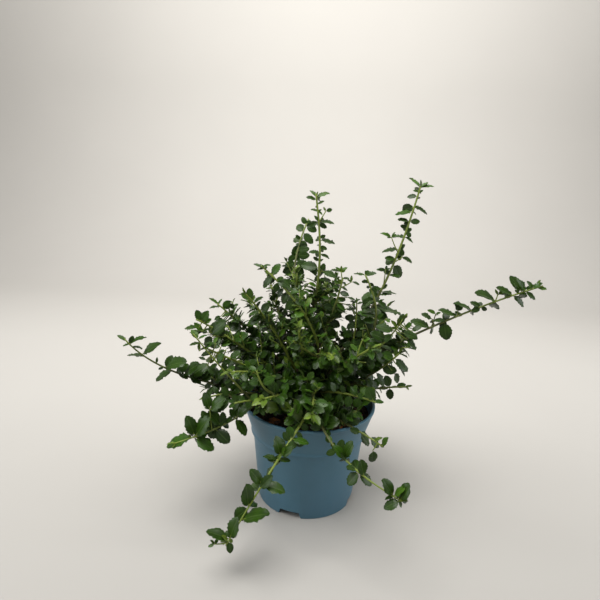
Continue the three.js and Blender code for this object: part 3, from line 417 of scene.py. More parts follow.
        (990, (-17, -3, 8.7, MID, 1)), (1000, (-75, -13, 9, MID, 2), (-127, 15, 8.4, MID, 2))),
    "left_side": (80, (84, (-140, 24, 9.4, MID, 3)), (107, (121, 5, 9, NEW, 4), (176, 21, 6.1, NEW, 4)),
        (249, (44, 6, 12.5, OLD, 2, 97), (-128, 5, 10.8, MID, 1)), (381, (-115, -2, 10.9, MID, 1, 81)),
        (470, (41, 2, 12.9, OLD, 2, 93)), (485, (-126, -3, 12.3, OLD, 1, 98)), (610, (-121, 13, 9.5, MID, 1)),
        (630, (34, 9, 14, MID, 2, 79)), (716, (-132, 5, 7.7), (-72, -7, 9.3, NEW, 2, 94)),
        (804, (38, -1, 11.6, MID, 2, 56)), (831, (-131, 5, 7.2), (-1, -5, 9.8, NEW, 4)),
        (884, (-96, 18, 12.3, MID, 1, 46)), (929, (-35, -17, 13.7, MID, 3, 87), (58, -12, 11.6, NEW, 2, 50))),
    "left_curl": (340, (337, (-126, 16, 10, MID, 1)), (622, (60, -3, 15.8, OLD, 2)),
        (746, (-115, -15, 15.2, OLD, 2)), (1000, (-62, -16, 10.1, MID, 2, 83), (42, -3, 10.1, MID, 2))),
    "front_bare": (950, (948, (-153, 5, 9.6, MID, 1)), (987, (39, -16, 9, MID, 2, 93)),
        (1000, (-55, 9, 8.7, MID, 2, 97))),
    "right_fill": (140, (142, (83, -7, 13, OLD, 1)), (176, (-127, -16, 15.7, OLD, 0)), (277, (69, 6, 14.6, OLD, 1)),
        (310, (-107, 10, 13.5, OLD, 0)), (427, (69, 2, 13.2, OLD, 1)), (477, (-107, -13, 15.9, OLD, 1)),
        (577, (64, -16, 14.6, OLD, 1)), (643, (-119, 14, 13.2, OLD, 0)), (709, (-90, -11, 14.1, OLD, 0)),
        (792, (97, -16, 15.2, OLD, 1, 69)), (854, (-90, 13, 11.9, MID, 1, 58)), (936, (66, 7, 8, MID, 1, 57)),
        (952, (-71, 14, 8.6, MID, 1, 53), (-3, -6, 6.4, NEW, 3, 96))),
}

# The leaves are joined by region.
REGIONS = {
    "leaves_upright": ("upright_middle", "upright_right", "upright_back", "upper_left", "right_twin"),
    "leaves_crown": (
        "top_bush", "top_middle", "left_arch", "front_top", "front_middle", "front_right", "right_bright",
    ),
    "leaves_left": ("long_left", "left_high", "left_rise", "left_middle", "low_left", "spill_left"),
    "leaves_right": ("long_right", "right_low", "right_side", "right_back"),
    "leaves_front": ("front_left", "front_low", "front_low_right", "front_edge", "front_rim"),
    "leaves_trailing": ("trail_left", "trail_right", "spill_front"),
    "leaves_back": (
        "back_high", "back_right_low", "left_back", "back_left", "back_middle", "back_right", "back_top",
        "back_low_left", "back_low", "back_low_right",
    ),
}


# ---- lines ------------


def unit(vector):
    return vector / max(np.linalg.norm(vector), 1e-9)


def lerp(a, b, share):
    return a + (b - a) * share


def clamp(value):
    return min(max(value, 0.0), 1.0)


def heading(bearing, lean):
    """A direction from its bearing, from straight up to the right, and its lean towards the front."""
    bearing, lean = math.radians(bearing), math.radians(lean)
    return np.array([math.sin(bearing) * math.cos(lean), -math.sin(lean), math.cos(bearing) * math.cos(lean)])


def seeded(seed):
    """The source's random numbers: the same ones for the same seed."""
    mask = 0xFFFFFFFF
    state = seed & mask

    def draw():
        nonlocal state
        state = (state + 0x6D2B79F5) & mask
        mixed = ((state ^ (state >> 15)) * (1 | state)) & mask
        mixed = ((mixed + ((mixed ^ (mixed >> 7)) * (61 | mixed))) & mask) ^ mixed
        return ((mixed ^ (mixed >> 14)) & mask) / (mask + 1)

    return draw


class Line:
    """A curve as a dense run of points, read by the length along it."""

    REACH = 1.5

    def __init__(self, points):
        self.points = np.asarray(points, float)
        steps = np.linalg.norm(np.diff(self.points, axis=0), axis=1)
        self.marks = np.concatenate([[0.0], np.cumsum(steps)])
        self.length = float(self.marks[-1])

    def at(self, distance):
        return np.array([np.interp(distance, self.marks, axis) for axis in self.points.T]).T

    def tangent(self, distance):
        ahead = self.at(min(distance + self.REACH, self.length))
        behind = self.at(max(distance - self.REACH, 0.0))
        return unit(ahead - behind)


def bezier(start, aim, end, t):
    return (1 - t) ** 2 * start + 2 * t * (1 - t) * aim + t**2 * end


def curve(start, aim, end, count=120):
    """The line that sets out from start towards aim and comes to end."""
    return Line(bezier(start, aim, end, np.linspace(0, 1, count)[:, None]))


def trunk_radius(share):
    return TRUNK_TOP_RADIUS + (TRUNK_FOOT_RADIUS - TRUNK_TOP_RADIUS) * (1 - share) ** 2


def stem_radius(name, share):
    """A leafy stem, stouter at its tip than the source's plain limb."""
    return lerp(LIMB_ROOT_RADIUS, STEM_TIPS.get(name, STEM_TIP_RADIUS), share)


TRUNK_LINE = curve(TRUNK_FOOT, TRUNK_BEND, TRUNK_TOP)


def shoot_line(shoot):
    """A shoot's line from the trunk's skin to its tip, and the trunk's own point that it comes from."""
    share = min((SOIL_TOP + shoot[FOOT] - TRUNK_FOOT[2]) / (TRUNK_TOP[2] - TRUNK_FOOT[2]), 1.0)
    middle = bezier(TRUNK_FOOT, TRUNK_BEND, TRUNK_TOP, share)
    aim, tip = np.array(shoot[AIM], float), np.array(shoot[TIP], float)
    if share == 1.0:
        outward, reach = TRUNK_LINE.tangent(TRUNK_LINE.length), GAP
    else:
        outward, reach = unit((aim - middle) * [1, 1, 0]), trunk_radius(share) + GAP
    line = curve(middle + outward * reach, aim, tip)
    if shoot[NAME] in STEM_BENDS:
        right, rise = STEM_BENDS[shoot[NAME]]
        leafy = np.clip((line.marks - shoot[BARE]) / (line.length - shoot[BARE]), 0, 1)
        line = Line(line.points + np.sin(math.pi * leafy)[:, None] * [right, 0.0, rise])
    return line, middle


class Spot:
    """A place on a stem: its point, its direction and two sides."""

    def __init__(self, line, distance, radius):
        self.at = line.at(distance)
        self.tangent = line.tangent(distance)
        self.radius = radius
        side_on = np.array([0.0, 1.0, 0.0]) if abs(self.tangent[2]) > STEEP else UP
        self.normal = unit(np.cross(side_on, self.tangent))
        self.binormal = np.cross(self.tangent, self.normal)

    def sideways(self, turn, degrees):
        opening = math.radians(degrees)
        side = math.cos(turn) * self.normal + math.sin(turn) * self.binormal
        return math.cos(opening) * self.tangent + math.sin(opening) * side


# ---- growth ------------

# A leaf's width for its length, how pointed it is, how far it folds up, bulges and droops, and its stalk.
LEAF_KINDS = {
    OLD: {"slender": 0.66, "pointed": 0.0, "fold": 0.10, "bulge": 0.16, "droop": 0.10, "stalk": 0.10},
    MID: {"slender": 0.60, "pointed": 0.1, "fold": 0.20, "bulge": 0.12, "droop": 0.10, "stalk": 0.08},
    NEW: {"slender": 0.45, "pointed": 0.35, "fold": 0.40, "bulge": 0.05, "droop": 0.12, "stalk": 0.05},
}


class Room:
    """Where there is room for a leaf: inside the CAD model's box, off the pot, the ground, the trunk, other
    limbs and leaves, and not in front of what has to show."""

    CLEAR_LIMB, CLEAR_TRUNK, CLEAR_POT, CLEAR_GROUND = 1.2, 6.0, 1.2, 4.0
    LIMB_STEPS, TRUNK_STEPS = 24, 6
    BOX_MARGINS = (2.0, 1.0)
    CELL = 12.0
    NEXT_CELLS = tuple(itertools.product((-1, 0, 1), repeat=3))
    RIM_FRONT, RIM_HALF, RIM_SPACE = -72.0, 76.0, 8.0
    IN_FRONT = 2.0

    def __init__(self, lines):
        marks = [line.at(np.linspace(0, line.length, self.LIMB_STEPS + 1)) for line in lines]
        self.starts = np.concatenate([m[:-1] for m in marks])
        self.ends = np.concatenate([m[1:] for m in marks])
        self.owner = np.repeat(np.arange(len(marks)), self.LIMB_STEPS)
        trunk = TRUNK_LINE.at(np.linspace(0, TRUNK_LINE.length, self.TRUNK_STEPS + 1))
        self.trunk = (trunk[:-1], trunk[1:])
        low, high = (np.array(corner) / MM for corner in CAD_BOX)
        self.low, self.high = low - self.BOX_MARGINS[0], high + self.BOX_MARGINS[1]
        self.cells = {}
        self.shown = np.empty((0, 4))

    @staticmethod
    def distances(points, starts, ends):
        along = ends - starts
        offset = points[:, None] - starts[None]
        share = np.einsum("ijk,jk->ij", offset, along) / np.einsum("jk,jk->j", along, along)
        share = np.clip(share, 0, 1)[..., None]
        return np.linalg.norm(offset - share * along, axis=2)

    def is_clear(self, points, owner):
        radius = np.hypot(points[:, 0], points[:, 1])
        over = points[:, 2] > POT_HEIGHT + self.CLEAR_POT
        beside = (radius > POT_RIM + self.CLEAR_POT) & (points[:, 2] > self.CLEAR_GROUND)
        if not np.all(over | beside):
            return False
        if np.any(points < self.low) or np.any(points > self.high):
            return False
        if self.distances(points, *self.trunk).min() < self.CLEAR_TRUNK:
            return False
        others = self.owner != owner
        return self.distances(points, self.starts[others], self.ends[others]).min() > self.CLEAR_LIMB

    @staticmethod
    def from_front(points):
        """Where points show from the front, as slopes from the eye, and how far behind it they are."""
        away = points - EYE
        return away[:, ::2] / away[:, 1:2], away[:, 1]

    def show_from_front(self, points, reach):
        """Keeps the growth rule's leaves from hiding these points."""
        slopes, depth = self.from_front(np.atleast_2d(points))
        self.shown = np.concatenate([self.shown, np.column_stack([slopes, depth, reach / depth])])

    def hides(self, points):
        """Whether points lie in front of what shows, or over the front of the pot's rim."""
        at_front = (points[:, 1] < self.RIM_FRONT) & (np.abs(points[:, 0]) < self.RIM_HALF)
        if np.any(at_front & (points[:, 2] < POT_HEIGHT + self.RIM_SPACE)):
            return True
        slopes, depth = self.from_front(points)
        near = np.linalg.norm(slopes[:, None] - self.shown[None, :, :2], axis=2) < self.shown[:, 3]
        return bool(np.any(near & (depth[:, None] < self.shown[:, 2] - self.IN_FRONT)))

    def is_apart(self, middle, least):
        """Whether a leaf's middle is this far from the others. It is noted if so."""
        x, y, z = np.floor(middle / self.CELL).astype(int)
        for dx, dy, dz in self.NEXT_CELLS:
            for other in self.cells.get((x + dx, y + dy, z + dz), ()):
                if np.linalg.norm(other - middle) < least:
                    return False
        self.cells.setdefault((x, y, z), []).append(middle)
        return True


class Growth:
    """Everything that the growth rule makes: tubes for stems, twigs and stalks, and rows for leaves."""

    SHOWN_STEM_WIDTH, SHOWN_LEAF_WIDTH = 2.4, 0.3
    CROWN_AXIS = (-6, 0, 0)
    BRANCH_POINTS, SPRIG_POINTS, TWIG_POINTS = 24, 6, 7
    BRANCH_TIP_RADIUS = 0.8
    SPRIG_RADII, TWIG_RADII = (0.85, 0.55), (1.0, 0.55)
    SPRIG_SAG = 0.08
    # How far a leaf's opening, lift, lit side and tone stray, and how far out in the stem its stalk starts.
    STRAY_OPEN, STRAY_LIFT, STRAY_LIT, STRAY_TONE = 7, 0.1, 0.4, 0.15
    STALK_START = 0.4
    # A twig's leaves: the first one's place, how far they run, and how small the last would be.
    TWIG_FIRST, TWIG_RUN, TWIG_TAPER = 0.22, 0.68, 0.72
    # Tone: the shoot's own, more in its outer half, and more high in the crown, where the lighter tone is painted
    # light from above.
    OWN_TONE, OUTWARD_TONE, HIGH_TONE = 0.8, 0.25, 0.17
    HIGH_FROM, HIGH_RISE = 180.0, 80.0
    # The second leaf of a pair: its turn from the first, and its size.
    PAIR_TURN, PAIR_SIZE = math.pi * 0.85, 0.85

    def __init__(self):
        self.tubes = []
        self.leaves = []
        self.lines = [shoot_line(shoot)[0] for shoot in SHOOTS]
        self.room = Room(self.lines)
        self.add_outer_leaves()
        for owner, shoot in enumerate(SHOOTS):
            self.add_shoot(owner, shoot)

    def tube(self, points, radii, growth, sides):
        self.tubes.append((np.asarray(points, float), np.asarray(radii, float), growth, sides))

    def stalked(self, at, root, axes, reach, radii, wander, style, **row):
        """Adds a leaf's row, and its stalk, which runs on a little way under the leaf."""
        self.tube([at, root, root + axes[0] * STALK_UNDER_LEAF * reach], radii, style["growth"], STALK_SIDES)
        self.leaves.append(dict(row, owner=style["owner"], root=root, axes=axes,
                                jitter=style["random"].normal(0, wander, 6)))

    def leaf(self, spot, turn, length, style, opening, kind):
        """Adds one leaf with its stalk, at the first of its turns where there is room."""
        jitter = style["random"].normal(0, 1, 6)
        shape = LEAF_KINDS[kind]
        for retry in LEAF_TURNS:
            out = spot.sideways(turn + math.radians(retry), opening + self.STRAY_OPEN * jitter[0])
            root = spot.at + out * (spot.radius * self.STALK_START + shape["stalk"] * length)
            along = unit(out + self.STRAY_LIFT * jitter[1] * UP)
            outward = unit((root - self.CROWN_AXIS) * [1, 1, 0])
            facing_out = lerp(*FACING_OUT, clamp((root[2] - FACING_FROM) / FACING_RISE))
            lit = outward * facing_out + UP + self.STRAY_LIT * np.array([jitter[2], jitter[3], 0])
            across = unit(np.cross(lit, along))
            middle = root + along * (length / 2)
            wide = across * (length * shape["slender"] / 2)
            corners = np.array([middle, middle + wide, middle - wide, root + along * length])
            if not self.room.is_clear(corners, style["owner"]):
                continue
            if not style.get("tip") and self.room.hides(corners):
                continue
            if self.room.is_apart(middle, style["apart"] * length):
                axes = (along, across, np.cross(along, across))
                self.stalked(spot.at, root, axes, length, STALK_RADII, 1, style, length=length,
                             tone=style["tone"] + self.STRAY_TONE * jitter[4], kind=kind)
                return

    def outer_leaf(self, at, style, bearing, lean, reach, kind, tone, shown=100):
        """Adds one leaf of the table of outer leaves."""
        along, seen = heading(bearing, lean), shown / 100
        stalk = LEAF_KINDS[kind]["stalk"] * reach
        root = at + along * stalk
        front = unit(EYE - at)
        facing = unit(front - along * (along @ front))
        edge_on = np.cross(along, facing)
        edge_on = edge_on if edge_on[2] > 0 else -edge_on
        up = facing * seen + edge_on * math.sqrt(1 - seen**2)
        self.stalked(at, root, (along, np.cross(up, along), up), reach, OUTER_STALK_RADII, 0.7, style,
                     length=reach - stalk, tone=(tone + 0.5) / len(LEAF_TONES), kind=kind)
        middle = root + along * reach * 0.5
        self.room.is_apart(middle, 0.0)
        self.room.show_from_front(middle, self.SHOWN_LEAF_WIDTH * reach)

    def outer(self, line, nodes, style):
        """Adds the leaves and sprigs that show on a shoot, and a long shoot's leaves on its far side."""
        random = style["random"]
        for place, *leaves in nodes:
            share = place / 1000
            at = line.at(share * line.length)
            style["growth"] = share + style["youth"]
            if len(leaves[0]) == 3:
                bearing, lean, length = leaves.pop(0)
                end = at + heading(bearing, lean) * length
                bend = lerp(at, end, 0.5) - UP * self.SPRIG_SAG * length
                points = curve(at, bend, end, self.SPRIG_POINTS).points
                self.tube(points, np.linspace(*self.SPRIG_RADII, self.SPRIG_POINTS), style["growth"], TWIG_SIDES)
                at = end
            for row in leaves:
                self.outer_leaf(at, style, *row)
            if line.length < LONG_SHOOT or style["bare_behind"]:
                continue
            bearing, _, reach, kind, tone, *_ = leaves[0]
            bearing += random.uniform(120.0, 240.0)
            lean = random.uniform(-75.0, -45.0)
            reach *= random.uniform(0.7, 1.05)
            tip = at + heading(bearing, lean) * reach * np.array([[0.5], [1.0]])
            if self.room.is_clear(tip, style["owner"]):
                self.outer_leaf(at, style, bearing, lean, reach, kind, tone)

    def add_outer_leaves(self):
        """Adds the side branches and the table's leaves, and keeps free what shows from the front."""
        names = [shoot[NAME] for shoot in SHOOTS]
        stems = dict(zip(names, self.lines))
        owners = {name: owner for owner, name in enumerate(names)}
        for name, parent, share, aim, tip, root_radius in BRANCHES:
            at = stems[parent].at(share * stems[parent].length)
            line = stems[name] = curve(at, at + aim, at + tip, self.BRANCH_POINTS)
            owners[name] = owners[parent]
            radii = np.linspace(root_radius, self.BRANCH_TIP_RADIUS, self.BRANCH_POINTS)
            self.tube(line.points, radii, lerp(0.6, 1.1, line.marks / line.length), BRANCH_SIDES)
        for name, share in SHOWN_STEMS.items():
            line = stems[name]
            self.room.show_from_front(line.at(np.linspace(share, 1.0, 40) * line.length), self.SHOWN_STEM_WIDTH)
        for i, (name, (_, *nodes)) in enumerate(OUTER_LEAVES.items()):
            self.outer(stems[name], nodes, {
                "random": np.random.default_rng(OUTER_SEED + i), "owner": owners[name],
                "youth": STEM_YOUTH.get(name, 0.0), "bare_behind": name == BARE_BEHIND,
            })

    def twig(self, spot, turn, length, leaf_length, style, leaves):
        """Adds a side twig that leans up, with leaves along it, where there is room."""
        along = unit(spot.sideways(turn, TWIG_OPEN) + UP * TWIG_LIFT)
        end = spot.at + along * length
        if not self.room.is_clear(np.array([end]), style["owner"]):
            return False
        bend = spot.at + along * (length * 0.55) + style["random"].normal(0, 0.05 * length, 3)
        line = curve(spot.at, bend, end, self.TWIG_POINTS)
        growth = lerp(style["growth"], 1.0, TWIG_GROWTH)
        self.tube(line.points, np.linspace(*self.TWIG_RADII, self.TWIG_POINTS), growth, TWIG_SIDES)
        style = dict(style, growth=growth, tone=style["tone"] + TWIG_TONE)
        for i in range(leaves):
            share = self.TWIG_FIRST + self.TWIG_RUN * i / max(leaves - 1, 1)
            place = Spot(line, share * line.length, 0.8)
            size = leaf_length * lerp(1.0, self.TWIG_TAPER, share)
            self.leaf(place, turn + i * GOLDEN_TURN, size, style, TWIG_LEAF_OPEN, OLD if share < 0.6 else MID)
        place = Spot(line, line.length * 0.99, 0.6)
        style["tone"] += TWIG_TIP_TONE
        self.leaf(place, turn, leaf_length * 0.62, style, TWIG_TIP_OPEN[0], NEW)
        self.leaf(place, turn + math.pi, leaf_length * 0.5, style, TWIG_TIP_OPEN[1], NEW)
        return True

    def tuft(self, spot, turn, length, style):
        """Adds a short sprig with small leaves in the angle of a leaf, where there is room."""
        random = style["random"]
        end = spot.at + spot.sideways(turn, 32 + 10 * random.random()) * (length * 0.45)
        if not self.room.is_clear(np.array([end]), style["owner"]):
            return
        line = Line([spot.at, end])
        growth = lerp(style["growth"], 1.0, TWIG_GROWTH)
        self.tube(line.points, TUFT_RADII, growth, STALK_SIDES)
        style = dict(style, growth=growth, tone=style["tone"] + TUFT_TONE, apart=style["apart"] * 0.8)
        first = random.random() * FULL_TURN
        for i, (share, opening) in enumerate(TUFT_LEAVES):
            place = Spot(line, share * line.length, 0.4)
            size = length * (0.75 - 0.12 * i) * (0.85 + 0.3 * random.random())
            self.leaf(place, first + i * TUFT_TURN, size, style, opening, NEW)

    def add_shoot(self, owner, shoot):
        """Runs the source's rule for a shoot, carried on to tufts, twigs and leaves between its nodes."""
        name, line = shoot[NAME], self.lines[owner]
        draw = seeded(owner + FIRST_SEED)
        start = shoot[BARE] + GAP if shoot[BARE] else 0.0
        leafy = line.length - start
        tip_leaf = LEAF_LOW if shoot[TIP][2] < LOW_TIP else LEAF_YOUNG
        low = shoot[TIP][2] < LOW_CROWN
        youth = STEM_YOUTH.get(name, 0.0)
        marks = np.linspace(max(start - 1.0, 0.0), line.length, max(6, int(leafy / 6)))
        self.tube(line.at(marks), stem_radius(name, marks / line.length), marks / line.length + youth, STEM_SIDES)
        ruled, *shown = OUTER_LEAVES.get(name, (1000,))
        turn = draw() * FULL_TURN
        style = {"random": np.random.default_rng(SHOOT_SEED + owner), "owner": owner, "youth": youth}
        for node in range(int((leafy - LEAF_FIRST) // LEAF_SPACING)):
            t = (LEAF_FIRST + (node + LEAF_STRAY * draw()) * LEAF_SPACING) / leafy
            leaf_length = lerp(LEAF_OLD, tip_leaf, t) * (1 + LEAF_UNEVEN * (2 * draw() - 1))
            twig_length = lerp(*TWIG_LENGTHS, t) * (1 + TWIG_UNEVEN * (2 * draw() - 1))
            turn += GOLDEN_TURN
            size = leaf_length * (LEAF_LIFE_LOW if low else LEAF_LIFE)
            for between in BETWEEN_NODES_LOW if low else BETWEEN_NODES:
                distance = start + t * leafy + between * LEAF_SPACING
                share = distance / line.length
                if share > ruled / 1000:
                    continue
                spot = Spot(line, distance, stem_radius(name, share))
                tone = self.OWN_TONE * shoot[TONE] + self.OUTWARD_TONE * max(0.0, t - 0.5)
                # Painted light: leaves high in the crown get a lighter tone, as if lit from above.
                tone += self.HIGH_TONE * clamp((spot.at[2] - self.HIGH_FROM) / self.HIGH_RISE)
                style.update(growth=share + youth, apart=LEAF_APART, tone=tone)
                way = turn + between * math.pi
                self.leaf(spot, way, size, style, LEAF_OPEN, OLD if t < 0.7 else MID)
                if t > shoot[BUSHY] or between:
                    self.leaf(spot, way + self.PAIR_TURN, size * self.PAIR_SIZE, style, PAIR_OPEN, MID)
                elif not self.twig(spot, way + math.pi, twig_length * 1.1, size * 0.9, style, 5):
                    self.twig(spot, way + math.pi / 2, twig_length * TWIG_STUNTED, size * 0.8, style, 3)
                self.tuft(spot, way + 0.3, TUFT_LENGTH, style)
        if shown:
            if shown[-1][0] > SHOWN_TIP:
                return
            tip_leaf = LEAF_YOUNG * 0.7
        spot = Spot(line, LEAF_LAST * line.length, 0.7)
        style.update(growth=1.0 + youth, apart=TIP_APART, tone=shoot[TONE] + TIP_TONE, tip=True)
        for i, (size, opening) in enumerate(TIP_LEAVES):
            self.leaf(spot, turn + i * TIP_TURN, tip_leaf * size * 0.8, style, opening, NEW)


@functools.cache
def growth():
    """The whole plant's growth, which runs once for both the stems and the leaves."""
    return Growth()


# ---- meshes from arrays ------------


class Gathered:
    """A mesh gathered from parts, each with points in millimetres, its faces' corners as one run and their
    sizes, and where it needs them a uv, growth and sharp value for each point and a material for each face."""

    def __init__(self):
        self.count = 0
        self.runs = {}

    def add(self, points, corners, sizes, **more):
        corners = np.asarray(corners) + self.count
        for key, run in dict(more, points=points, corners=corners, sizes=sizes).items():
            self.runs.setdefault(key, []).append(run)
        self.count += len(points)

    def mesh(self, name, smooth=True):
        runs = {key: np.concatenate(parts) for key, parts in self.runs.items()}
        corners, sizes = runs["corners"].astype(np.int32), runs["sizes"].astype(np.int32)
        mesh = bpy.data.meshes.new(name)
        mesh.vertices.add(self.count)
        mesh.vertices.foreach_set("co", (runs["points"].astype(np.float32) * MM).ravel())
        mesh.loops.add(len(corners))
        mesh.loops.foreach_set("vertex_index", corners)
        faces = mesh.polygons
        faces.add(len(sizes))
        faces.foreach_set("loop_start", np.cumsum(sizes, dtype=np.int32) - sizes)
        faces.foreach_set("loop_total", sizes)
        mesh.update(calc_edges=True)
        faces.foreach_set("use_smooth", np.full(len(sizes), smooth))
        if "material" in runs:
            faces.foreach_set("material_index", runs["material"].astype(np.int32))
        if "uv" in runs:
            layer = mesh.uv_layers.new(name="UVMap")
            layer.data.foreach_set("uv", runs["uv"][corners].astype(np.float32).ravel())
        if "growth" in runs:
            attribute = mesh.attributes.new("growth", "FLOAT", "POINT")
            attribute.data.foreach_set("value", runs["growth"].astype(np.float32))
        if "sharp" in runs:
            ends = np.zeros(len(mesh.edges) * 2, np.int32)
            mesh.edges.foreach_get("vertices", ends)
            mark = mesh.attributes.get("sharp_edge") or mesh.attributes.new("sharp_edge", "BOOLEAN", "EDGE")
            mark.data.foreach_set("value", runs["sharp"][ends.reshape(-1, 2)].all(axis=1))
        mesh.validate()
        return mesh


def tube_arrays(points, radii, sides):
    """Rings round a run of points, with a point at each end to close it."""
    tangents = np.gradient(points, axis=0)
    tangents /= np.linalg.norm(tangents, axis=1)[:, None]
    side = unit(np.cross(tangents[0], UP if abs(tangents[0][2]) < STEEP else np.array([1.0, 0, 0])))
    around = np.arange(sides)
    turns = around * FULL_TURN / sides
    rings = []
    for point, tangent, radius in zip(points, tangents, radii):
        side = unit(side - tangent * (side @ tangent))
        other = np.cross(tangent, side)
        rings.append(point + radius * (np.outer(np.cos(turns), side) + np.outer(np.sin(turns), other)))
    whole = np.concatenate([*rings, points[:1], points[-1:] + tangents[-1] * radii[-1] * 0.6])
    ahead = (around + 1) % sides
    last = (len(points) - 1) * sides
    quads = np.concatenate([
        np.stack([around, ahead, ahead + sides, around + sides], axis=1) + first for first in range(0, last, sides)
    ])
    foot, tip = np.full(sides, len(whole) - 2), np.full(sides, len(whole) - 1)
    start = np.stack([foot, ahead, around], axis=1)
    end = np.stack([tip, last + around, last + ahead], axis=1)
    return whole, quads, np.concatenate([start, end])


# The shares of its length at which a leaf has teeth, by its size.
FULL_STATIONS = (0.06, 0.18, 0.34, 0.52, 0.70, 0.86, 0.96)
SMALL_STATIONS = (0.10, 0.38, 0.66, 0.90)
SMALL_LEAF = 10.5
LEAF_BROADEST = 0.46
TOOTH_FORWARD, TOOTH_OUT, NOTCH_IN = 0.62, 0.075, 0.04
MARGIN_UNEVEN, MARGIN_WAVY = 0.02, 0.028
LEAF_THICK = 0.022
# How much leaves differ in slenderness, fold, bulge, droop, sway and point.
LEAF_VARIES = (0.09, 0.08, 0.3, 0.07, 0.035, 0.1)
# From this tone on, a leaf has the young underside.
YOUNG_TONE = 3
LEAF_TONES = ("deep", "dark", "middle", "bright", "fresh", "lime")


class LeafTemplate:
    """A leaf's points, as places along (t) and across (c), and its faces: a toothed margin, a midrib, a column
    half way between them where there is room for one, and an underside that meets the margin."""

    def __init__(self, stations, halves):
        count = len(stations)
        margin = [stations[0]]
        for near, far in zip(stations, stations[1:]):
            margin += [lerp(near, far, TOOTH_FORWARD), far]
        columns = [(-1.0, margin), (1.0, margin), (0.0, stations)]
        if halves:
            columns += [(-0.5, stations), (0.5, stations)]
        columns.append((0.0, stations))
        t, c, firsts = [0.0, 1.0], [0.0, 0.0], []
        for across, places in columns:
            firsts.append(len(t))
            t += list(places)
            c += [across] * len(places)
        left, right, rib = firsts[:3]
        beneath = firsts[-1]
        inner_left, inner_right = firsts[3:5] if halves else (rib, rib)
        self.t, self.c = np.array(t), np.array(c)
        self.under = np.arange(len(t)) >= beneath
        self.edge = np.abs(self.c) == 1
        at_tooth = np.zeros(len(t), bool)
        for first in (left, right):
            at_tooth[first + 1:first + len(margin):2] = True
        self.tooth = np.where(self.edge, np.where(at_tooth, TOOTH_OUT, -NOTCH_IN), 0.0)
        self.upper, self.lower = [], []
        for k in range(count - 1):
            near, tooth, far = 2 * k, 2 * k + 1, 2 * k + 2
            west, east, mid, under = inner_left + k, inner_right + k, rib + k, beneath + k
            self.upper += [(left + near, left + tooth, left + far, west + 1, west),
                           (east, east + 1, right + far, right + tooth, right + near)]
            if halves:
                self.upper += [(west, west + 1, mid + 1, mid), (mid, mid + 1, east + 1, east)]
            self.lower += [(left + near, under, under + 1, left + far, left + tooth),
                           (under, right + near, right + tooth, right + far, under + 1)]
        first = (left, inner_left, rib, inner_right, right)
        ends = (len(margin), count, count, count, len(margin))
        last = tuple(start + length - 1 for start, length in zip(first, ends))
        self.upper += [(0, near, far) for near, far in zip(first, first[1:]) if near != far]
        self.upper += [(near, 1, far) for near, far in zip(last, last[1:]) if near != far]
        end = beneath + count - 1
        self.lower += [(0, beneath, left), (0, right, beneath), (last[0], end, 1), (end, last[-1], 1)]


def leaf_profile(t, pointed):
    """Half the width along a leaf, as a share of its greatest: blunt, or drawn out to a point."""
    away = np.where(t < LEAF_BROADEST, (LEAF_BROADEST - t) / LEAF_BROADEST,
                    (t - LEAF_BROADEST) / (1 - LEAF_BROADEST))
    blunt = (1 - away**2.0) ** 0.66
    drawn = (1 - away**1.5) ** 0.9
    return blunt * (1 - pointed) + drawn * pointed


def leaves_mesh(name, rows, random):
    """All leaves of a region as one mesh. The small ones have fewer points."""
    made = Gathered()
    full = [row for row in rows if row["length"] >= SMALL_LEAF]
    small = [row for row in rows if row["length"] < SMALL_LEAF]
    for group, stations in ((full, FULL_STATIONS), (small, SMALL_STATIONS)):
        if group:
            add_leaves(made, group, LeafTemplate(stations, group is full), random)
    return made.mesh(name)


def add_leaves(made, rows, template, random):
    """Adds a group of leaves to a gathered mesh, each bent, folded and drooping in its own way."""
    t, c, under, edge = template.t, template.c, template.under, template.edge
    count, points_each = len(rows), len(t)

    def each(key):
        return np.array([row[key] for row in rows])

    def kind(key):
        return np.array([LEAF_KINDS[row["kind"]][key] for row in rows])[:, None]

    def along_margin(amount):
        return amount * random.normal(0, 1, (count, points_each)) * edge

    length = each("length")[:, None]
    slender, fold, bulge, droop, sway, pointed = np.split(each("jitter") * LEAF_VARIES, 6, axis=1)
    slender = kind("slender") * (1 + slender)
    fold = kind("fold") + fold
    bulge = kind("bulge") * (1 + bulge)
    droop = kind("droop") + droop
    pointed = np.clip(kind("pointed") + pointed, 0, 1)
    half = length * slender / 2 * leaf_profile(t, pointed)
    half = half * (1 + template.tooth + along_margin(MARGIN_UNEVEN))
    x = length * t * np.ones_like(half)
    y = c * half + sway * length * t**2
    cupped = 1 - (2 * np.abs(c) - 1) ** 2
    z = half * (fold * np.abs(c) + bulge * cupped) - droop * length * t**2
    z = z + length * along_margin(MARGIN_WAVY) - under * LEAF_THICK * length
    points = each("root")[:, None] + np.einsum("nvk,nkd->nvd", np.stack([x, y, z], axis=2), each("axes"))
    faces = template.upper + template.lower
    run = np.concatenate(faces)
    tone = np.clip(each("tone"), 0, 0.999)
    shade = (tone * len(LEAF_TONES)).astype(int)
    beneath = len(LEAF_TONES) + (shade >= YOUNG_TONE)
    sides = [np.repeat(shade, len(template.upper)).reshape(count, -1),
             np.repeat(beneath, len(template.lower)).reshape(count, -1)]
    made.add(
        points.reshape(-1, 3),
        (run[None] + np.arange(count)[:, None] * points_each).ravel(),
        [len(face) for face in faces] * count,
        material=np.concatenate(sides, axis=1).ravel(),
        uv=np.tile(np.stack([0.5 + 0.5 * c, t], axis=1), (count, 1)),
        sharp=np.tile((edge | (t == 0) | (t == 1)) & ~under, count),
    )


# ---- materials ------------


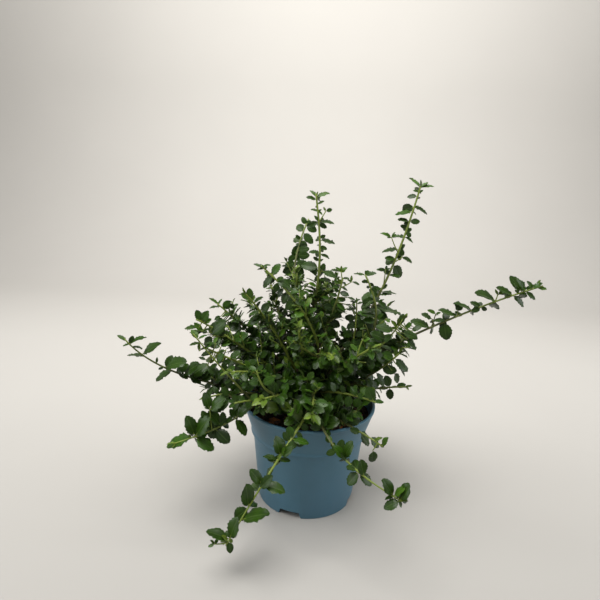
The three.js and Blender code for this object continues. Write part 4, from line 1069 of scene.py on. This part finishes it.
class Tree:
    """A short way to add and link nodes. A value that is a socket is linked, and another is set."""

    def __init__(self, tree):
        self.tree = tree

    def link(self, source, target):
        self.tree.links.new(source, target)

    def add(self, kind, values=None, **settings):
        made = self.tree.nodes.new(kind)
        for key, value in settings.items():
            setattr(made, key, value)
        for key, value in (values or {}).items():
            socket = made.inputs[key]
            if isinstance(value, bpy.types.NodeSocket):
                self.link(value, socket)
            else:
                socket.default_value = value
        return made

    def group(self, group, values):
        return self.add("ShaderNodeGroup", values, node_tree=group).outputs

    def math(self, operation, a, b=0.0, c=0.0):
        return self.add("ShaderNodeMath", {0: a, 1: b, 2: c}, operation=operation).outputs[0]

    def times(self, a, b):
        return self.math("MULTIPLY", a, b)

    def scaled(self, value, by, plus):
        return self.math("MULTIPLY_ADD", value, by, plus)

    def rest(self, value):
        """What is left of 1."""
        return self.math("SUBTRACT", 1.0, value)

    def larger(self, a, b):
        return self.math("MAXIMUM", a, b)

    def mix(self, share, a, b, blend="MIX"):
        made = self.add("ShaderNodeMix", {0: share, 6: a, 7: b}, data_type="RGBA", blend_type=blend)
        return made.outputs[2]

    def step(self, value, low, high):
        """0 below low, 1 above high, smooth between."""
        made = self.add("ShaderNodeMapRange", {0: value, 1: low, 2: high}, interpolation_type="SMOOTHSTEP")
        return made.outputs[0]

    def place(self):
        return self.add("ShaderNodeTexCoord").outputs["Object"]

    def noise(self, vector, scale, detail=2.0, roughness=0.5):
        return self.add("ShaderNodeTexNoise", {
            "Vector": vector, "Scale": scale, "Detail": detail, "Roughness": roughness,
        }).outputs[0]


def colour(value):
    return (*value, 1.0)


NUMBER, TINT = "NodeSocketFloat", "NodeSocketColor"


def new_group(name, inputs, outputs):
    """A shader node group with the named sockets. An input has a default, a number or a colour."""
    group = bpy.data.node_groups.new(name, "ShaderNodeTree")
    for label, default in inputs.items():
        kind = NUMBER if isinstance(default, float) else TINT
        group.interface.new_socket(name=label, in_out="INPUT", socket_type=kind).default_value = default
    for label, kind in outputs.items():
        group.interface.new_socket(name=label, in_out="OUTPUT", socket_type=kind)
    entry = group.nodes.new("NodeGroupInput")
    leave = group.nodes.new("NodeGroupOutput")
    return group, Tree(group), entry.outputs, leave.inputs


@functools.cache
def mottle_group():
    """Colour that drifts over a surface at two scales, and a matching height."""
    group, tree, given, result = new_group("Mottle", {
        "Colour": (0.5, 0.5, 0.5, 1), "Second Colour": (0.3, 0.3, 0.3, 1), "Scale": 60.0, "Amount": 0.5,
        "Fine": 0.4,
    }, {"Colour": TINT, "Height": NUMBER})
    place = tree.place()
    broad = tree.noise(place, given["Scale"], 3.0, 0.55)
    fine = tree.noise(place, tree.times(given["Scale"], 9.0), 3.0, 0.6)
    both = tree.math("ADD", tree.times(broad, tree.rest(given["Fine"])), tree.times(fine, given["Fine"]))
    share = tree.times(tree.step(both, 0.35, 0.68), given["Amount"])
    tree.link(tree.mix(share, given["Colour"], given["Second Colour"]), result["Colour"])
    tree.link(both, result["Height"])
    return group


@functools.cache
def vein_group():
    """A leaf's midrib, its two side ribs and the faint veins between them, from its own UV map."""
    group, tree, given, result = new_group("Leaf Veins", {
        "Colour": (0.1, 0.2, 0.05, 1), "Vein Colour": (0.3, 0.4, 0.15, 1), "Midrib": 0.6, "Side Veins": 0.25,
    }, {"Colour": TINT, "Height": NUMBER, "Roughness": NUMBER})
    uv = tree.add("ShaderNodeUVMap", uv_map="UVMap").outputs[0]
    split = tree.add("ShaderNodeSeparateXYZ", {0: uv})
    across = tree.math("ABSOLUTE", tree.scaled(split.outputs[0], 2.0, -1.0))
    along = split.outputs[1]
    midrib = tree.rest(tree.step(across, 0.04, 0.13))
    ribs = tree.math("ABSOLUTE", tree.math("SUBTRACT", across, 0.5))
    ribs = tree.rest(tree.step(ribs, 0.02, 0.09))
    ribs = tree.times(ribs, tree.rest(tree.step(along, 0.55, 0.9)))
    slant = tree.times(tree.scaled(across, -0.45, along), 58.0)
    side = tree.larger(ribs, tree.step(tree.math("SINE", slant), 0.55, 0.98))
    pale = tree.larger(tree.times(midrib, given["Midrib"]), tree.times(side, given["Side Veins"]))
    place = tree.place()
    patchy = tree.noise(place, 90.0)
    darker = tree.mix(1.0, given["Colour"], (0.62, 0.66, 0.6, 1), "MULTIPLY")
    base = tree.mix(tree.step(patchy, 0.4, 0.7), given["Colour"], darker)
    tree.link(tree.mix(pale, base, given["Vein Colour"]), result["Colour"])
    grain, raised = tree.times(tree.noise(place, 900.0), 0.25), tree.larger(midrib, tree.times(side, 0.5))
    tree.link(tree.math("SUBTRACT", grain, raised), result["Height"])
    tree.link(tree.scaled(patchy, 0.3, 0.2), result["Roughness"])
    return group


def new_material(name, values):
    """A material with a Principled shader whose plain sockets are set."""
    material = bpy.data.materials.new(name)
    material.use_nodes = True
    shader = next(n for n in material.node_tree.nodes if n.type == "BSDF_PRINCIPLED")
    for key, value in values.items():
        shader.inputs[key].default_value = value
    return material, Tree(material.node_tree), shader.inputs


def bump(tree, sockets, height, distance):
    made = tree.add("ShaderNodeBump", {"Height": height, "Distance": distance, "Strength": 1.0})
    tree.link(made.outputs[0], sockets["Normal"])


def pot_material(settings):
    material, tree, sockets = new_material("Pot Plastic", {"Metallic": 0.0, "Specular IOR Level": 0.45})
    mottle = tree.group(mottle_group(), {
        "Colour": colour(settings.colour), "Second Colour": colour(settings.light_colour), "Scale": 11.0,
        "Amount": 0.55, "Fine": 0.15,
    })
    tree.link(mottle["Colour"], sockets["Base Color"])
    tree.link(tree.scaled(mottle["Height"], 0.25, settings.roughness - 0.12), sockets["Roughness"])
    bump(tree, sockets, tree.noise(tree.place(), 1400.0, 2.0, 0.6), 0.00012)
    return material


def soil_material(name, base, second, scale=260.0, rough=0.95):
    material, tree, sockets = new_material(name, {"Roughness": rough, "Specular IOR Level": 0.25})
    mottle = tree.group(mottle_group(), {
        "Colour": colour(base), "Second Colour": colour(second), "Scale": scale, "Amount": 0.9,
    })
    tree.link(mottle["Colour"], sockets["Base Color"])
    bump(tree, sockets, mottle["Height"], 0.0012)
    return material


def bark_material(settings):
    """Old wood at the root of a limb, green and then fresh towards its tip, by the mesh's growth."""
    material, tree, sockets = new_material("Bark And Stem", {"Specular IOR Level": 0.35})
    along = tree.add("ShaderNodeAttribute", attribute_name="growth").outputs["Fac"]
    place = tree.place()
    patches = tree.noise(place, 170.0, 3.0, 0.6)
    shifted = tree.math("ADD", along, tree.scaled(patches, 0.24, -0.12))
    wood = tree.mix(tree.step(patches, 0.4, 0.65), colour(settings.bark), colour(settings.bark_light))
    green = tree.mix(tree.step(shifted, 0.2, 0.5), wood, colour(settings.green_stem))
    final = tree.mix(tree.step(shifted, 0.6, 0.98), green, colour(settings.young_stem))
    tree.link(final, sockets["Base Color"])
    tree.link(tree.scaled(tree.step(shifted, 0.1, 0.7), -0.35, 0.82), sockets["Roughness"])
    bump(tree, sockets, tree.noise(place, 800.0, 3.0, 0.6), 0.0004)
    return material


def leaf_material(name, base, settings, midrib, side, rough=0.0):
    """One tone of leaf. How strongly its midrib and side veins show, and how much rougher it is, are shares."""
    material, tree, sockets = new_material(name, {
        "Specular IOR Level": 0.1, "Coat Weight": settings.gloss, "Coat Roughness": 0.3,
    })
    veins = tree.group(vein_group(), {
        "Colour": colour(base), "Vein Colour": colour(settings.vein), "Midrib": midrib, "Side Veins": side,
    })
    tree.link(veins["Colour"], sockets["Base Color"])
    tree.link(tree.math("ADD", veins["Roughness"], rough), sockets["Roughness"])
    bump(tree, sockets, veins["Height"], 0.0003)
    return material


# ---- settings ------------


def colour_property(name, description, default):
    return FloatVectorProperty(name=name, description=description, default=default, subtype="COLOR",
                               min=0.0, max=1.0)


def share_property(name, description, default, least=0.0):
    return FloatProperty(name=name, description=description, default=default, min=least, max=1.0,
                         subtype="FACTOR")


def length_property(name, description, default, least, most):
    return FloatProperty(name=name, description=description, default=default, min=least, max=most,
                         subtype="DISTANCE", unit="LENGTH")


def power_property(name, description, default):
    return FloatProperty(name=name, description=description, default=default, min=0.0, max=500.0, unit="POWER")


class PotSettings(bpy.types.PropertyGroup):
    colour: colour_property("Plastic", "Main colour of the pot", (0.050, 0.130, 0.180))
    light_colour: colour_property("Faded plastic", "Paler, bluer drift in the plastic", (0.066, 0.158, 0.232))
    roughness: share_property("Roughness", "How matte the plastic is", 0.48, 0.1)
    rim_round: length_property("Rim round", "Radius of the rounded rim", 0.0011, 0.0002, 0.0015)
    sides: IntProperty(name="Sides", description="Steps round the pot", default=128, min=32, max=256)


class SoilSettings(bpy.types.PropertyGroup):
    colour: colour_property("Soil", "Damp potting soil", (0.016, 0.011, 0.008))
    dry_colour: colour_property("Dry soil", "Drier grains", (0.06, 0.036, 0.02))
    chip_colour: colour_property("Chips", "Dry bark chips", (0.11, 0.045, 0.016))
    litter_colour: colour_property("Litter", "Fallen leaves and old bark near the rim", (0.42, 0.16, 0.04))
    crumbs: IntProperty(name="Crumbs", description="How many crumbs lie on the soil", default=900, min=0,
                        max=2000)
    chips: IntProperty(name="Chips", description="How many bark chips lie on the soil", default=90, min=0,
                       max=400)
    crumb_size: length_property("Crumb size", "Size of a middling crumb", 0.0022, 0.0005, 0.006)


class WoodSettings(bpy.types.PropertyGroup):
    bark: colour_property("Bark", "Old wood", (0.06, 0.038, 0.022))
    bark_light: colour_property("Pale bark", "Raised, drier bark", (0.13, 0.095, 0.06))
    green_stem: colour_property("Green stem", "Stems of this year", (0.075, 0.085, 0.022))
    young_stem: colour_property("Young stem", "Tips of the shoots", (0.155, 0.205, 0.03))
    relief: length_property("Relief", "Depth of the bark's ridges", 0.0007, 0.0, 0.003)


class LeafSettings(bpy.types.PropertyGroup):
    deep: colour_property("Deep", "Oldest, inner leaves", (0.009, 0.026, 0.0012))
    dark: colour_property("Dark", "Old leaves", (0.018, 0.048, 0.002))
    middle: colour_property("Middle", "Leaves of the crown", (0.028, 0.077, 0.004))
    bright: colour_property("Bright", "Leaves in full growth", (0.049, 0.114, 0.008))
    fresh: colour_property("Fresh", "Leaves near the tips", (0.088, 0.150, 0.014))
    lime: colour_property("Lime", "Youngest leaves", (0.135, 0.205, 0.022))
    under: colour_property("Underside", "Pale underside", (0.045, 0.08, 0.025))
    young_under: colour_property("Young underside", "Underside of a young leaf", (0.09, 0.14, 0.035))
    vein: colour_property("Veins", "Midrib and veins", (0.075, 0.125, 0.03))
    gloss: share_property("Gloss", "Waxy coat on the upper side", 0.3)


class StageSettings(bpy.types.PropertyGroup):
    floor: colour_property("Floor", "Floor and backdrop", (0.375, 0.362, 0.341))
    key: power_property("Key light", "Power of the large light overhead", 27.0)
    side: power_property("Side lights", "Power of each light beside the plant", 7.0)
    backdrop: power_property("Backdrop light", "Power of the light on the backdrop", 88.0)
    sky: FloatProperty(name="Sky", description="Strength of the even light all round", default=0.42,
                       min=0.0, max=5.0)


class PlantSettings(bpy.types.PropertyGroup):
    pot: PointerProperty(type=PotSettings)
    soil: PointerProperty(type=SoilSettings)
    wood: PointerProperty(type=WoodSettings)
    leaves: PointerProperty(type=LeafSettings)
    stage: PointerProperty(type=StageSettings)


# ---- pieces ------------


def show(name, mesh, materials, nodes=()):
    """Puts a finished mesh in the scene as a piece that rides on the one body."""
    piece = bpy.data.objects.new(name, mesh)
    for material in materials:
        mesh.materials.append(material)
    bpy.context.scene.collection.objects.link(piece)
    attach(piece, "root")
    if nodes:
        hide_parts(*nodes)


def mesh_from(bm, name, smooth=True):
    mesh = bpy.data.meshes.new(name)
    bm.to_mesh(mesh)
    bm.free()
    for polygon in mesh.polygons:
        polygon.use_smooth = smooth
    return mesh


def spun(profile, steps):
    """A solid of revolution from a profile of (radius, height) points, in metres."""
    bm = bmesh.new()
    verts = [bm.verts.new((radius, 0.0, height)) for radius, height in profile]
    edges = [bm.edges.new(pair) for pair in zip(verts, verts[1:])]
    bmesh.ops.spin(bm, geom=verts + edges, cent=(0, 0, 0), axis=(0, 0, 1), dvec=(0, 0, 0),
                   angle=FULL_TURN, steps=steps, use_merge=True, use_duplicate=False)
    bmesh.ops.remove_doubles(bm, verts=bm.verts, dist=1e-6)
    bmesh.ops.recalc_face_normals(bm, faces=bm.faces)
    return bm


# The pot's outline in metres, radius and height: up its outside with the collar and lip, and down its inside.
POT_PROFILE = (
    (0.0, 0.0022), (0.050, 0.0022), (0.052, 0.0), (0.062, 0.0), (0.0712, 0.0898), (0.0734, 0.0902),
    (0.0742, 0.0909), (0.0738, 0.0924), (0.0732, 0.0945), (0.0832, 0.1254), (0.084, 0.1262), (0.084, 0.129),
    (0.0808, 0.129), (0.0798, 0.125), (0.0708, 0.0903), (0.0605, 0.0035), (0.0, 0.0035),
)
# The pot's edges outside the foot ring that turn by more than SHARP_CORNER are rounded.
FOOT_RING = 0.055
SHARP_CORNER, SMOOTH_UP_TO = 24, 35
# Drain notches: the first one's turn, how far in and out they reach, and half their width and their height at
# the bottom and the top.
NOTCHES, NOTCH_TURN = 4, -107
NOTCH_INNER, NOTCH_OUTER = 0.050, 0.070
NOTCH_HALVES = (0.015, 0.012)
NOTCH_HEIGHTS = (-0.001, 0.008)


class BLUEBLOSSOM_OT_pot(bpy.types.Operator):
    """Make the pot: a turned wall with a proud collar, a rounded rim and four drain notches"""

    bl_idname = "blueblossom.pot"
    bl_label = "Pot"

    def execute(self, context):
        settings = context.scene.blueblossom.pot
        bm = spun(POT_PROFILE, settings.sides)
        corners = [e for e in bm.edges if e.is_manifold and e.calc_face_angle(0.0) > math.radians(SHARP_CORNER)
                   and abs(e.verts[0].co.z - e.verts[1].co.z) < 1e-5 and e.verts[0].co.xy.length > FOOT_RING]
        bmesh.ops.bevel(bm, geom=corners, offset=settings.rim_round * 0.6, offset_type="OFFSET",
                        affect="EDGES", segments=3, profile=0.5, material=-1)
        pot = bpy.data.objects.new("pot_blank", mesh_from(bm, "pot"))
        notches = bmesh.new()
        for i in range(NOTCHES):
            verts = bmesh.ops.create_cube(notches, size=1.0)["verts"]
            for vert in verts:
                top = vert.co.z > 0
                half = NOTCH_HALVES[top]
                vert.co = Vector((lerp(NOTCH_INNER, NOTCH_OUTER, vert.co.x + 0.5),
                                  half if vert.co.y > 0 else -half, NOTCH_HEIGHTS[top]))
            bmesh.ops.rotate(notches, verts=verts, cent=(0, 0, 0),
                             matrix=Matrix.Rotation(math.radians(NOTCH_TURN + 90 * i), 3, "Z"))
        cutter = bpy.data.objects.new("pot_cutter", mesh_from(notches, "pot_cutter", smooth=False))
        for made in (pot, cutter):
            context.scene.collection.objects.link(made)
        cut = pot.modifiers.new("Notches", "BOOLEAN")
        cut.operation, cut.solver, cut.object = "DIFFERENCE", "EXACT", cutter
        mesh = bpy.data.meshes.new_from_object(pot.evaluated_get(context.evaluated_depsgraph_get()))
        mesh.name = "pot"
        mesh.materials.clear()
        bpy.data.objects.remove(cutter)
        bpy.data.objects.remove(pot)
        mesh.set_sharp_from_angle(angle=math.radians(SMOOTH_UP_TO))
        show("nursery_pot", mesh, [pot_material(settings)], ["pot"])
        return {"FINISHED"}


# The soil in metres: its radius and rings on top, where it ends below, and its height in the middle, as far as
# it is level, and at its edge.
SOIL_RADIUS, SOIL_RINGS = 0.0765, 30
SOIL_BELOW = (0.0745, 0.108)
SOIL_MIDDLE, SOIL_EDGE = 0.118, 0.115
LEVEL_RADIUS, SLOPE_WIDTH = 0.016, 0.06
LUMP_HEIGHT = 0.0011
# Crumbs: how rough they are, how near to the pot's middle none lie, and how high they lie for their thickness.
CRUMB_ROUGH, CRUMB_FREE, CRUMB_LIFT = 0.14, 0.013, 0.35


def soil_height(x, y):
    """Height of the soil's surface in metres: level round the trunk, lower at its edge, and lumpy."""
    slope = lerp(SOIL_MIDDLE, SOIL_EDGE, clamp((math.hypot(x, y) - LEVEL_RADIUS) / SLOPE_WIDTH))
    return slope + LUMP_HEIGHT * noise.fractal(Vector((x, y, 0.3)) * 95, 0.8, 2.0, 4)


class BLUEBLOSSOM_OT_soil(bpy.types.Operator):
    """Make the potting soil with its crumbs and bark chips"""

    bl_idname = "blueblossom.soil"
    bl_label = "Soil"

    def execute(self, context):
        settings = context.scene.blueblossom.soil
        rings = [(SOIL_RADIUS * i / SOIL_RINGS, SOIL_MIDDLE) for i in range(SOIL_RINGS + 1)]
        bm = spun(rings + [SOIL_BELOW, (0.0, SOIL_BELOW[1])], 96)
        for vert in bm.verts:
            if vert.co.z > 0.11:
                vert.co.z = soil_height(vert.co.x, vert.co.y)
        soil = soil_material("Potting Soil", settings.colour, settings.dry_colour)
        show("potting_soil", mesh_from(bm, "potting_soil"), [soil], ["soil"])
        template = bmesh.new()
        bmesh.ops.create_icosphere(template, subdivisions=1, radius=1.0)
        ball = np.array([v.co for v in template.verts])
        faces = np.array([[v.index for v in f.verts] for f in template.faces])
        template.free()
        random = np.random.default_rng(SOIL_SEED)
        made = Gathered()

        def scatter(number, size, flat, kind, place=None):
            """Lays crumbs (0), bark chips (1) or litter (2) on the soil, each rough, turned and on its own."""
            for _ in range(number):
                radius, turn = SOIL_BELOW[0] * math.sqrt(random.random()), random.random() * FULL_TURN
                if radius < CRUMB_FREE:
                    continue
                x, y = place or (radius * math.cos(turn), radius * math.sin(turn))
                axes, _ = np.linalg.qr(random.normal(0, 1, (3, 3)))
                if flat < 0.5:
                    axes, _ = np.linalg.qr(np.eye(3) + random.normal(0, 0.25, (3, 3)))
                scale = size * random.uniform(0.5, 1.5) * np.array([1.0, random.uniform(0.55, 0.9), flat])
                rough = ball * (1 + random.normal(0, CRUMB_ROUGH, (len(ball), 1)))
                spin = random.random() * FULL_TURN
                turned = np.array([[math.cos(spin), -math.sin(spin), 0], [math.sin(spin), math.cos(spin), 0],
                                   [0, 0, 1]])
                body = (rough * scale) @ axes.T @ turned.T
                z = soil_height(x, y) + CRUMB_LIFT * size * flat
                made.add((body + [x, y, z]) / MM, faces.ravel(), [3] * len(faces), material=[kind] * len(faces))

        scatter(settings.crumbs, settings.crumb_size * 0.5, 0.7, 0)
        scatter(settings.crumbs // 5, settings.crumb_size, 0.7, 0)
        scatter(settings.chips, settings.crumb_size * 1.5, 0.3, 1)
        for x, y, size in LITTER:
            scatter(1, size, 0.16, 2, (x, y))
        chip = soil_material("Bark Chip", settings.chip_colour, settings.dry_colour, 120.0, 0.8)
        litter = soil_material("Dry Litter", settings.litter_colour, settings.chip_colour, 160.0, 0.8)
        show("soil_crumbs", made.mesh("soil_crumbs", smooth=False), [soil, chip, litter])
        return {"FINISHED"}


# How deep the trunk stands in the soil, its foot's flare and its rounding on top, the bark's relief on trunk and
# boughs, how far a bough's root goes into the trunk, its swell, and the length of a short shoot's woody collar.
TRUNK_SUNK = 3.0
FLARE_WIDTH, FLARE_HEIGHT = 2.2, 8.0
CROWN_FROM, CROWN_DEPTH = 7, 7.3
TRUNK_RELIEF, BOUGH_RELIEF = 1.6, 0.35
ROOT_SHARE, ROOT_DEEPEST = 0.6, 4.0
BOUGH_SWELL, SWELL_LENGTH = 1.1, 3.0
COLLAR_LENGTH = 7.0


def limb(bm, line, start, stop, radius_at, sides, step, relief, layer):
    """A round limb along part of a line: a closed cone cut into rings, moved to the line, with bark relief."""
    rings = max(3, int((stop - start) / step))
    earlier = len(bm.verts)
    made = bmesh.ops.create_cone(bm, cap_ends=True, cap_tris=False, segments=sides, radius1=1.0, radius2=1.0,
                                 depth=1.0)
    upright = {e for v in made["verts"] for e in v.link_edges
               if abs(e.verts[0].co.z - e.verts[1].co.z) > 0.5}
    bmesh.ops.subdivide_edges(bm, edges=list(upright), cuts=rings - 1, use_grid_fill=True)
    bm.verts.ensure_lookup_table()
    side = np.array([1.0, 0.2, 0.1])
    frames = []
    for ring in range(rings + 1):
        distance = lerp(start, stop, ring / rings)
        tangent = line.tangent(distance)
        side = unit(side - tangent * (side @ tangent)) if frames else unit(np.cross(tangent, side))
        frames.append((line.at(distance), side, np.cross(tangent, side), distance))
    for vert in bm.verts[earlier:]:
        at, x_side, y_side, distance = frames[round((vert.co.z + 0.5) * rings)]
        turn = math.atan2(vert.co.y, vert.co.x)
        seam = noise.fractal(Vector((math.cos(turn) * 2.2, math.sin(turn) * 2.2, distance * 0.07)), 0.9, 2.1, 4)
        radius = radius_at(distance) + relief * seam
        vert.co = Vector((at + radius * (math.cos(turn) * x_side + math.sin(turn) * y_side)) * MM)
        vert[layer] = max(0.0, distance / line.length)


class BLUEBLOSSOM_OT_trunk(bpy.types.Operator):
    """Make the trunk, with ridged bark and a flared foot"""

    bl_idname = "blueblossom.trunk"
    bl_label = "Trunk"

    def execute(self, context):
        settings = context.scene.blueblossom.wood
        bm = bmesh.new()
        layer = bm.verts.layers.float.new("growth")
        length = TRUNK_LINE.length

        def radius_at(distance):
            flare = FLARE_WIDTH * max(0.0, 1 - distance / FLARE_HEIGHT) ** 2
            crown = math.sqrt(max(0.0, 1 - max(0.0, (distance - length + CROWN_FROM) / CROWN_DEPTH) ** 2))
            return (trunk_radius(distance / length) + flare) * (0.45 + 0.55 * crown)

        relief = settings.relief / MM * TRUNK_RELIEF
        limb(bm, TRUNK_LINE, -TRUNK_SUNK, length, radius_at, 36, 0.9, relief, layer)
        for vert in bm.verts:
            vert[layer] = 0.0
        bmesh.ops.recalc_face_normals(bm, faces=bm.faces)
        show("trunk_bark", mesh_from(bm, "trunk_bark"), [bark_material(settings)], ["trunk"])
        return {"FINISHED"}


class BLUEBLOSSOM_OT_boughs(bpy.types.Operator):
    """Make the bare boughs that carry the long shoots, and the woody collars of the short ones"""

    bl_idname = "blueblossom.boughs"
    bl_label = "Boughs"

    def execute(self, context):
        settings = context.scene.blueblossom.wood
        bm = bmesh.new()
        layer = bm.verts.layers.float.new("growth")
        relief = settings.relief / MM * BOUGH_RELIEF
        for shoot in SHOOTS:
            line, middle = shoot_line(shoot)
            root = line.points[0]
            inner = root - unit(root - middle) * min(np.linalg.norm(root - middle) * ROOT_SHARE, ROOT_DEEPEST)
            whole = Line(np.concatenate([[inner], line.points]))
            sunk = whole.length - line.length

            def radius_at(distance, sunk=sunk, line=line):
                along = max(0.0, distance - sunk)
                radius = lerp(LIMB_ROOT_RADIUS, LIMB_TIP_RADIUS, along / line.length)
                return radius + BOUGH_SWELL * math.exp(-along / SWELL_LENGTH)

            limb(bm, whole, 0.0, (shoot[BARE] or COLLAR_LENGTH) + sunk, radius_at, 14, 1.1, relief, layer)
        bmesh.ops.recalc_face_normals(bm, faces=bm.faces)
        nodes = ["bough_" + shoot[NAME] for shoot in SHOOTS if shoot[BARE]]
        show("bough_bark", mesh_from(bm, "bough_bark"), [bark_material(settings)], nodes)
        return {"FINISHED"}


class BLUEBLOSSOM_OT_stems(bpy.types.Operator):
    """Make the green stems, side twigs and leaf stalks"""

    bl_idname = "blueblossom.stems"
    bl_label = "Stems and twigs"

    def execute(self, context):
        made = Gathered()
        for line, radii, share, sides in growth().tubes:
            points, quads, ends = tube_arrays(line, radii, sides)
            rings = np.broadcast_to(share, len(line))
            made.add(points, np.concatenate([quads.ravel(), ends.ravel()]), [4] * len(quads) + [3] * len(ends),
                     growth=np.concatenate([np.repeat(rings, sides), rings[:1], rings[-1:]]))
        bark = bark_material(context.scene.blueblossom.wood)
        show("stems_and_twigs", made.mesh("stems_and_twigs"), [bark])
        return {"FINISHED"}


class BLUEBLOSSOM_OT_leaves(bpy.types.Operator):
    """Make the leaves, joined by region, each in the colour of its spray"""

    bl_idname = "blueblossom.leaves"
    bl_label = "Leaves"

    def execute(self, context):
        settings = context.scene.blueblossom.leaves
        materials = [
            leaf_material("Leaf " + tone.title(), getattr(settings, tone), settings, 0.32 - 0.02 * i, 0.13)
            for i, tone in enumerate(LEAF_TONES)
        ]
        materials.append(leaf_material("Leaf Underside", settings.under, settings, 0.5, 0.3, 0.25))
        materials.append(leaf_material("Leaf Young Underside", settings.young_under, settings, 0.4, 0.2, 0.2))
        names = [shoot[NAME] for shoot in SHOOTS]
        for i, (region, members) in enumerate(REGIONS.items()):
            rows = [row for row in growth().leaves if names[row["owner"]] in members]
            mesh = leaves_mesh(region, rows, np.random.default_rng(REGION_SEED + i))
            show(region, mesh, materials, ["leaves_" + member for member in members])
        return {"FINISHED"}


# The floor in metres, from its front edge back to where it curves up into the backdrop.
FLOOR_FRONT, FLOOR_BACK = -4.0, 1.1
CURVE_RADIUS = 0.9
BACKDROP_HEIGHT = 5.0
FLOOR_HALF = 5.0
WARM_WHITE = (1.0, 0.985, 0.96)
COOL_WHITE = (0.95, 0.98, 1.0)
SENSOR, LENS = 36.0, 28.33
NEAREST, FURTHEST = 0.02, 30.0


def area_light(name, at, size, power, tint, aim=(0, 0, 0.2)):
    lamp = bpy.data.lights.new(name, "AREA")
    lamp.shape, lamp.size, lamp.energy, lamp.color = "SQUARE", size, power, tint
    made = bpy.data.objects.new(name, lamp)
    made.location = at
    made.rotation_euler = (Vector(aim) - Vector(at)).to_track_quat("-Z", "Y").to_euler()
    bpy.context.scene.collection.objects.link(made)


class BLUEBLOSSOM_OT_stage(bpy.types.Operator):
    """Make the floor, the lights and the camera"""

    bl_idname = "blueblossom.stage"
    bl_label = "Stage"

    def execute(self, context):
        settings = context.scene.blueblossom.stage
        scene = context.scene
        bm = bmesh.new()
        section = [(FLOOR_FRONT, 0.0), (FLOOR_BACK, 0.0)]
        section += [(FLOOR_BACK + CURVE_RADIUS * math.sin(a), CURVE_RADIUS - CURVE_RADIUS * math.cos(a))
                    for a in np.linspace(0.1, math.pi / 2, 14)]
        section.append((FLOOR_BACK + CURVE_RADIUS, BACKDROP_HEIGHT))
        verts = [bm.verts.new((-FLOOR_HALF, y, z)) for y, z in section]
        edges = [bm.edges.new(pair) for pair in zip(verts, verts[1:])]
        swept = bmesh.ops.extrude_edge_only(bm, edges=edges)
        moved = [g for g in swept["geom"] if isinstance(g, bmesh.types.BMVert)]
        bmesh.ops.translate(bm, verts=moved, vec=(2 * FLOOR_HALF, 0, 0))
        bmesh.ops.recalc_face_normals(bm, faces=bm.faces)
        floor = bpy.data.objects.new("floor", mesh_from(bm, "floor"))
        material, tree, sockets = new_material("Pale Floor", {"Roughness": 0.85})
        drift = tree.noise(tree.place(), 3.0)
        dim = [0.95 * part for part in settings.floor]
        tree.link(tree.mix(drift, colour(dim), colour(settings.floor)), sockets["Base Color"])
        floor.data.materials.append(material)
        scene.collection.objects.link(floor)

        area_light("key", (-0.25, -0.35, 1.5), 1.0, settings.key, WARM_WHITE)
        area_light("side_left", (-1.3, -0.3, 0.5), 0.8, settings.side, COOL_WHITE)
        area_light("side_right", (1.3, -0.1, 0.5), 0.8, settings.side, COOL_WHITE)
        area_light("backdrop", (0, 0.4, 2.0), 2.0, settings.backdrop, WARM_WHITE, (0, 2.2, 1.4))
        world = bpy.data.worlds.new("studio")
        world.use_nodes = True
        background = next(n for n in world.node_tree.nodes if n.type == "BACKGROUND")
        background.inputs["Color"].default_value = colour(WARM_WHITE)
        background.inputs["Strength"].default_value = settings.sky
        scene.world = world
        scene.view_settings.view_transform = "Standard"

        data = bpy.data.cameras.new("camera")
        data.sensor_width, data.lens = SENSOR, LENS
        data.clip_start, data.clip_end = NEAREST, FURTHEST
        camera = bpy.data.objects.new("camera", data)
        camera.matrix_world = Matrix.Translation(Vector(EYE * MM))
        for degrees, axis in CAMERA_TURNS:
            camera.matrix_world @= Matrix.Rotation(math.radians(degrees), 4, axis)
        scene.collection.objects.link(camera)
        scene.camera = camera
        return {"FINISHED"}


class BLUEBLOSSOM_PT_panel(bpy.types.Panel):
    """Lists the pieces and their settings"""

    bl_idname = "BLUEBLOSSOM_PT_panel"
    bl_label = "Potted Creeping Blueblossom"
    bl_space_type = "VIEW_3D"
    bl_region_type = "UI"
    bl_category = "Blueblossom"

    def draw(self, context):
        settings = context.scene.blueblossom
        for operator, group in PIECES:
            box = self.layout.box()
            box.operator(operator.bl_idname)
            chosen = getattr(settings, group)
            for key in chosen.__annotations__:
                box.prop(chosen, key)


PIECES = (
    (BLUEBLOSSOM_OT_pot, "pot"),
    (BLUEBLOSSOM_OT_soil, "soil"),
    (BLUEBLOSSOM_OT_trunk, "wood"),
    (BLUEBLOSSOM_OT_boughs, "wood"),
    (BLUEBLOSSOM_OT_stems, "wood"),
    (BLUEBLOSSOM_OT_leaves, "leaves"),
    (BLUEBLOSSOM_OT_stage, "stage"),
)
CLASSES = (
    PotSettings, SoilSettings, WoodSettings, LeafSettings, StageSettings, PlantSettings,
    *(operator for operator, _ in PIECES), BLUEBLOSSOM_PT_panel,
)


def register():
    for made in CLASSES:
        bpy.utils.register_class(made)
    bpy.types.Scene.blueblossom = PointerProperty(type=PlantSettings)


def unregister():
    del bpy.types.Scene.blueblossom
    for made in reversed(CLASSES):
        bpy.utils.unregister_class(made)


def main():
    register()
    for operator, _ in PIECES:
        family, name = operator.bl_idname.split(".")
        getattr(getattr(bpy.ops, family), name)()


if __name__ == "__main__":
    main()
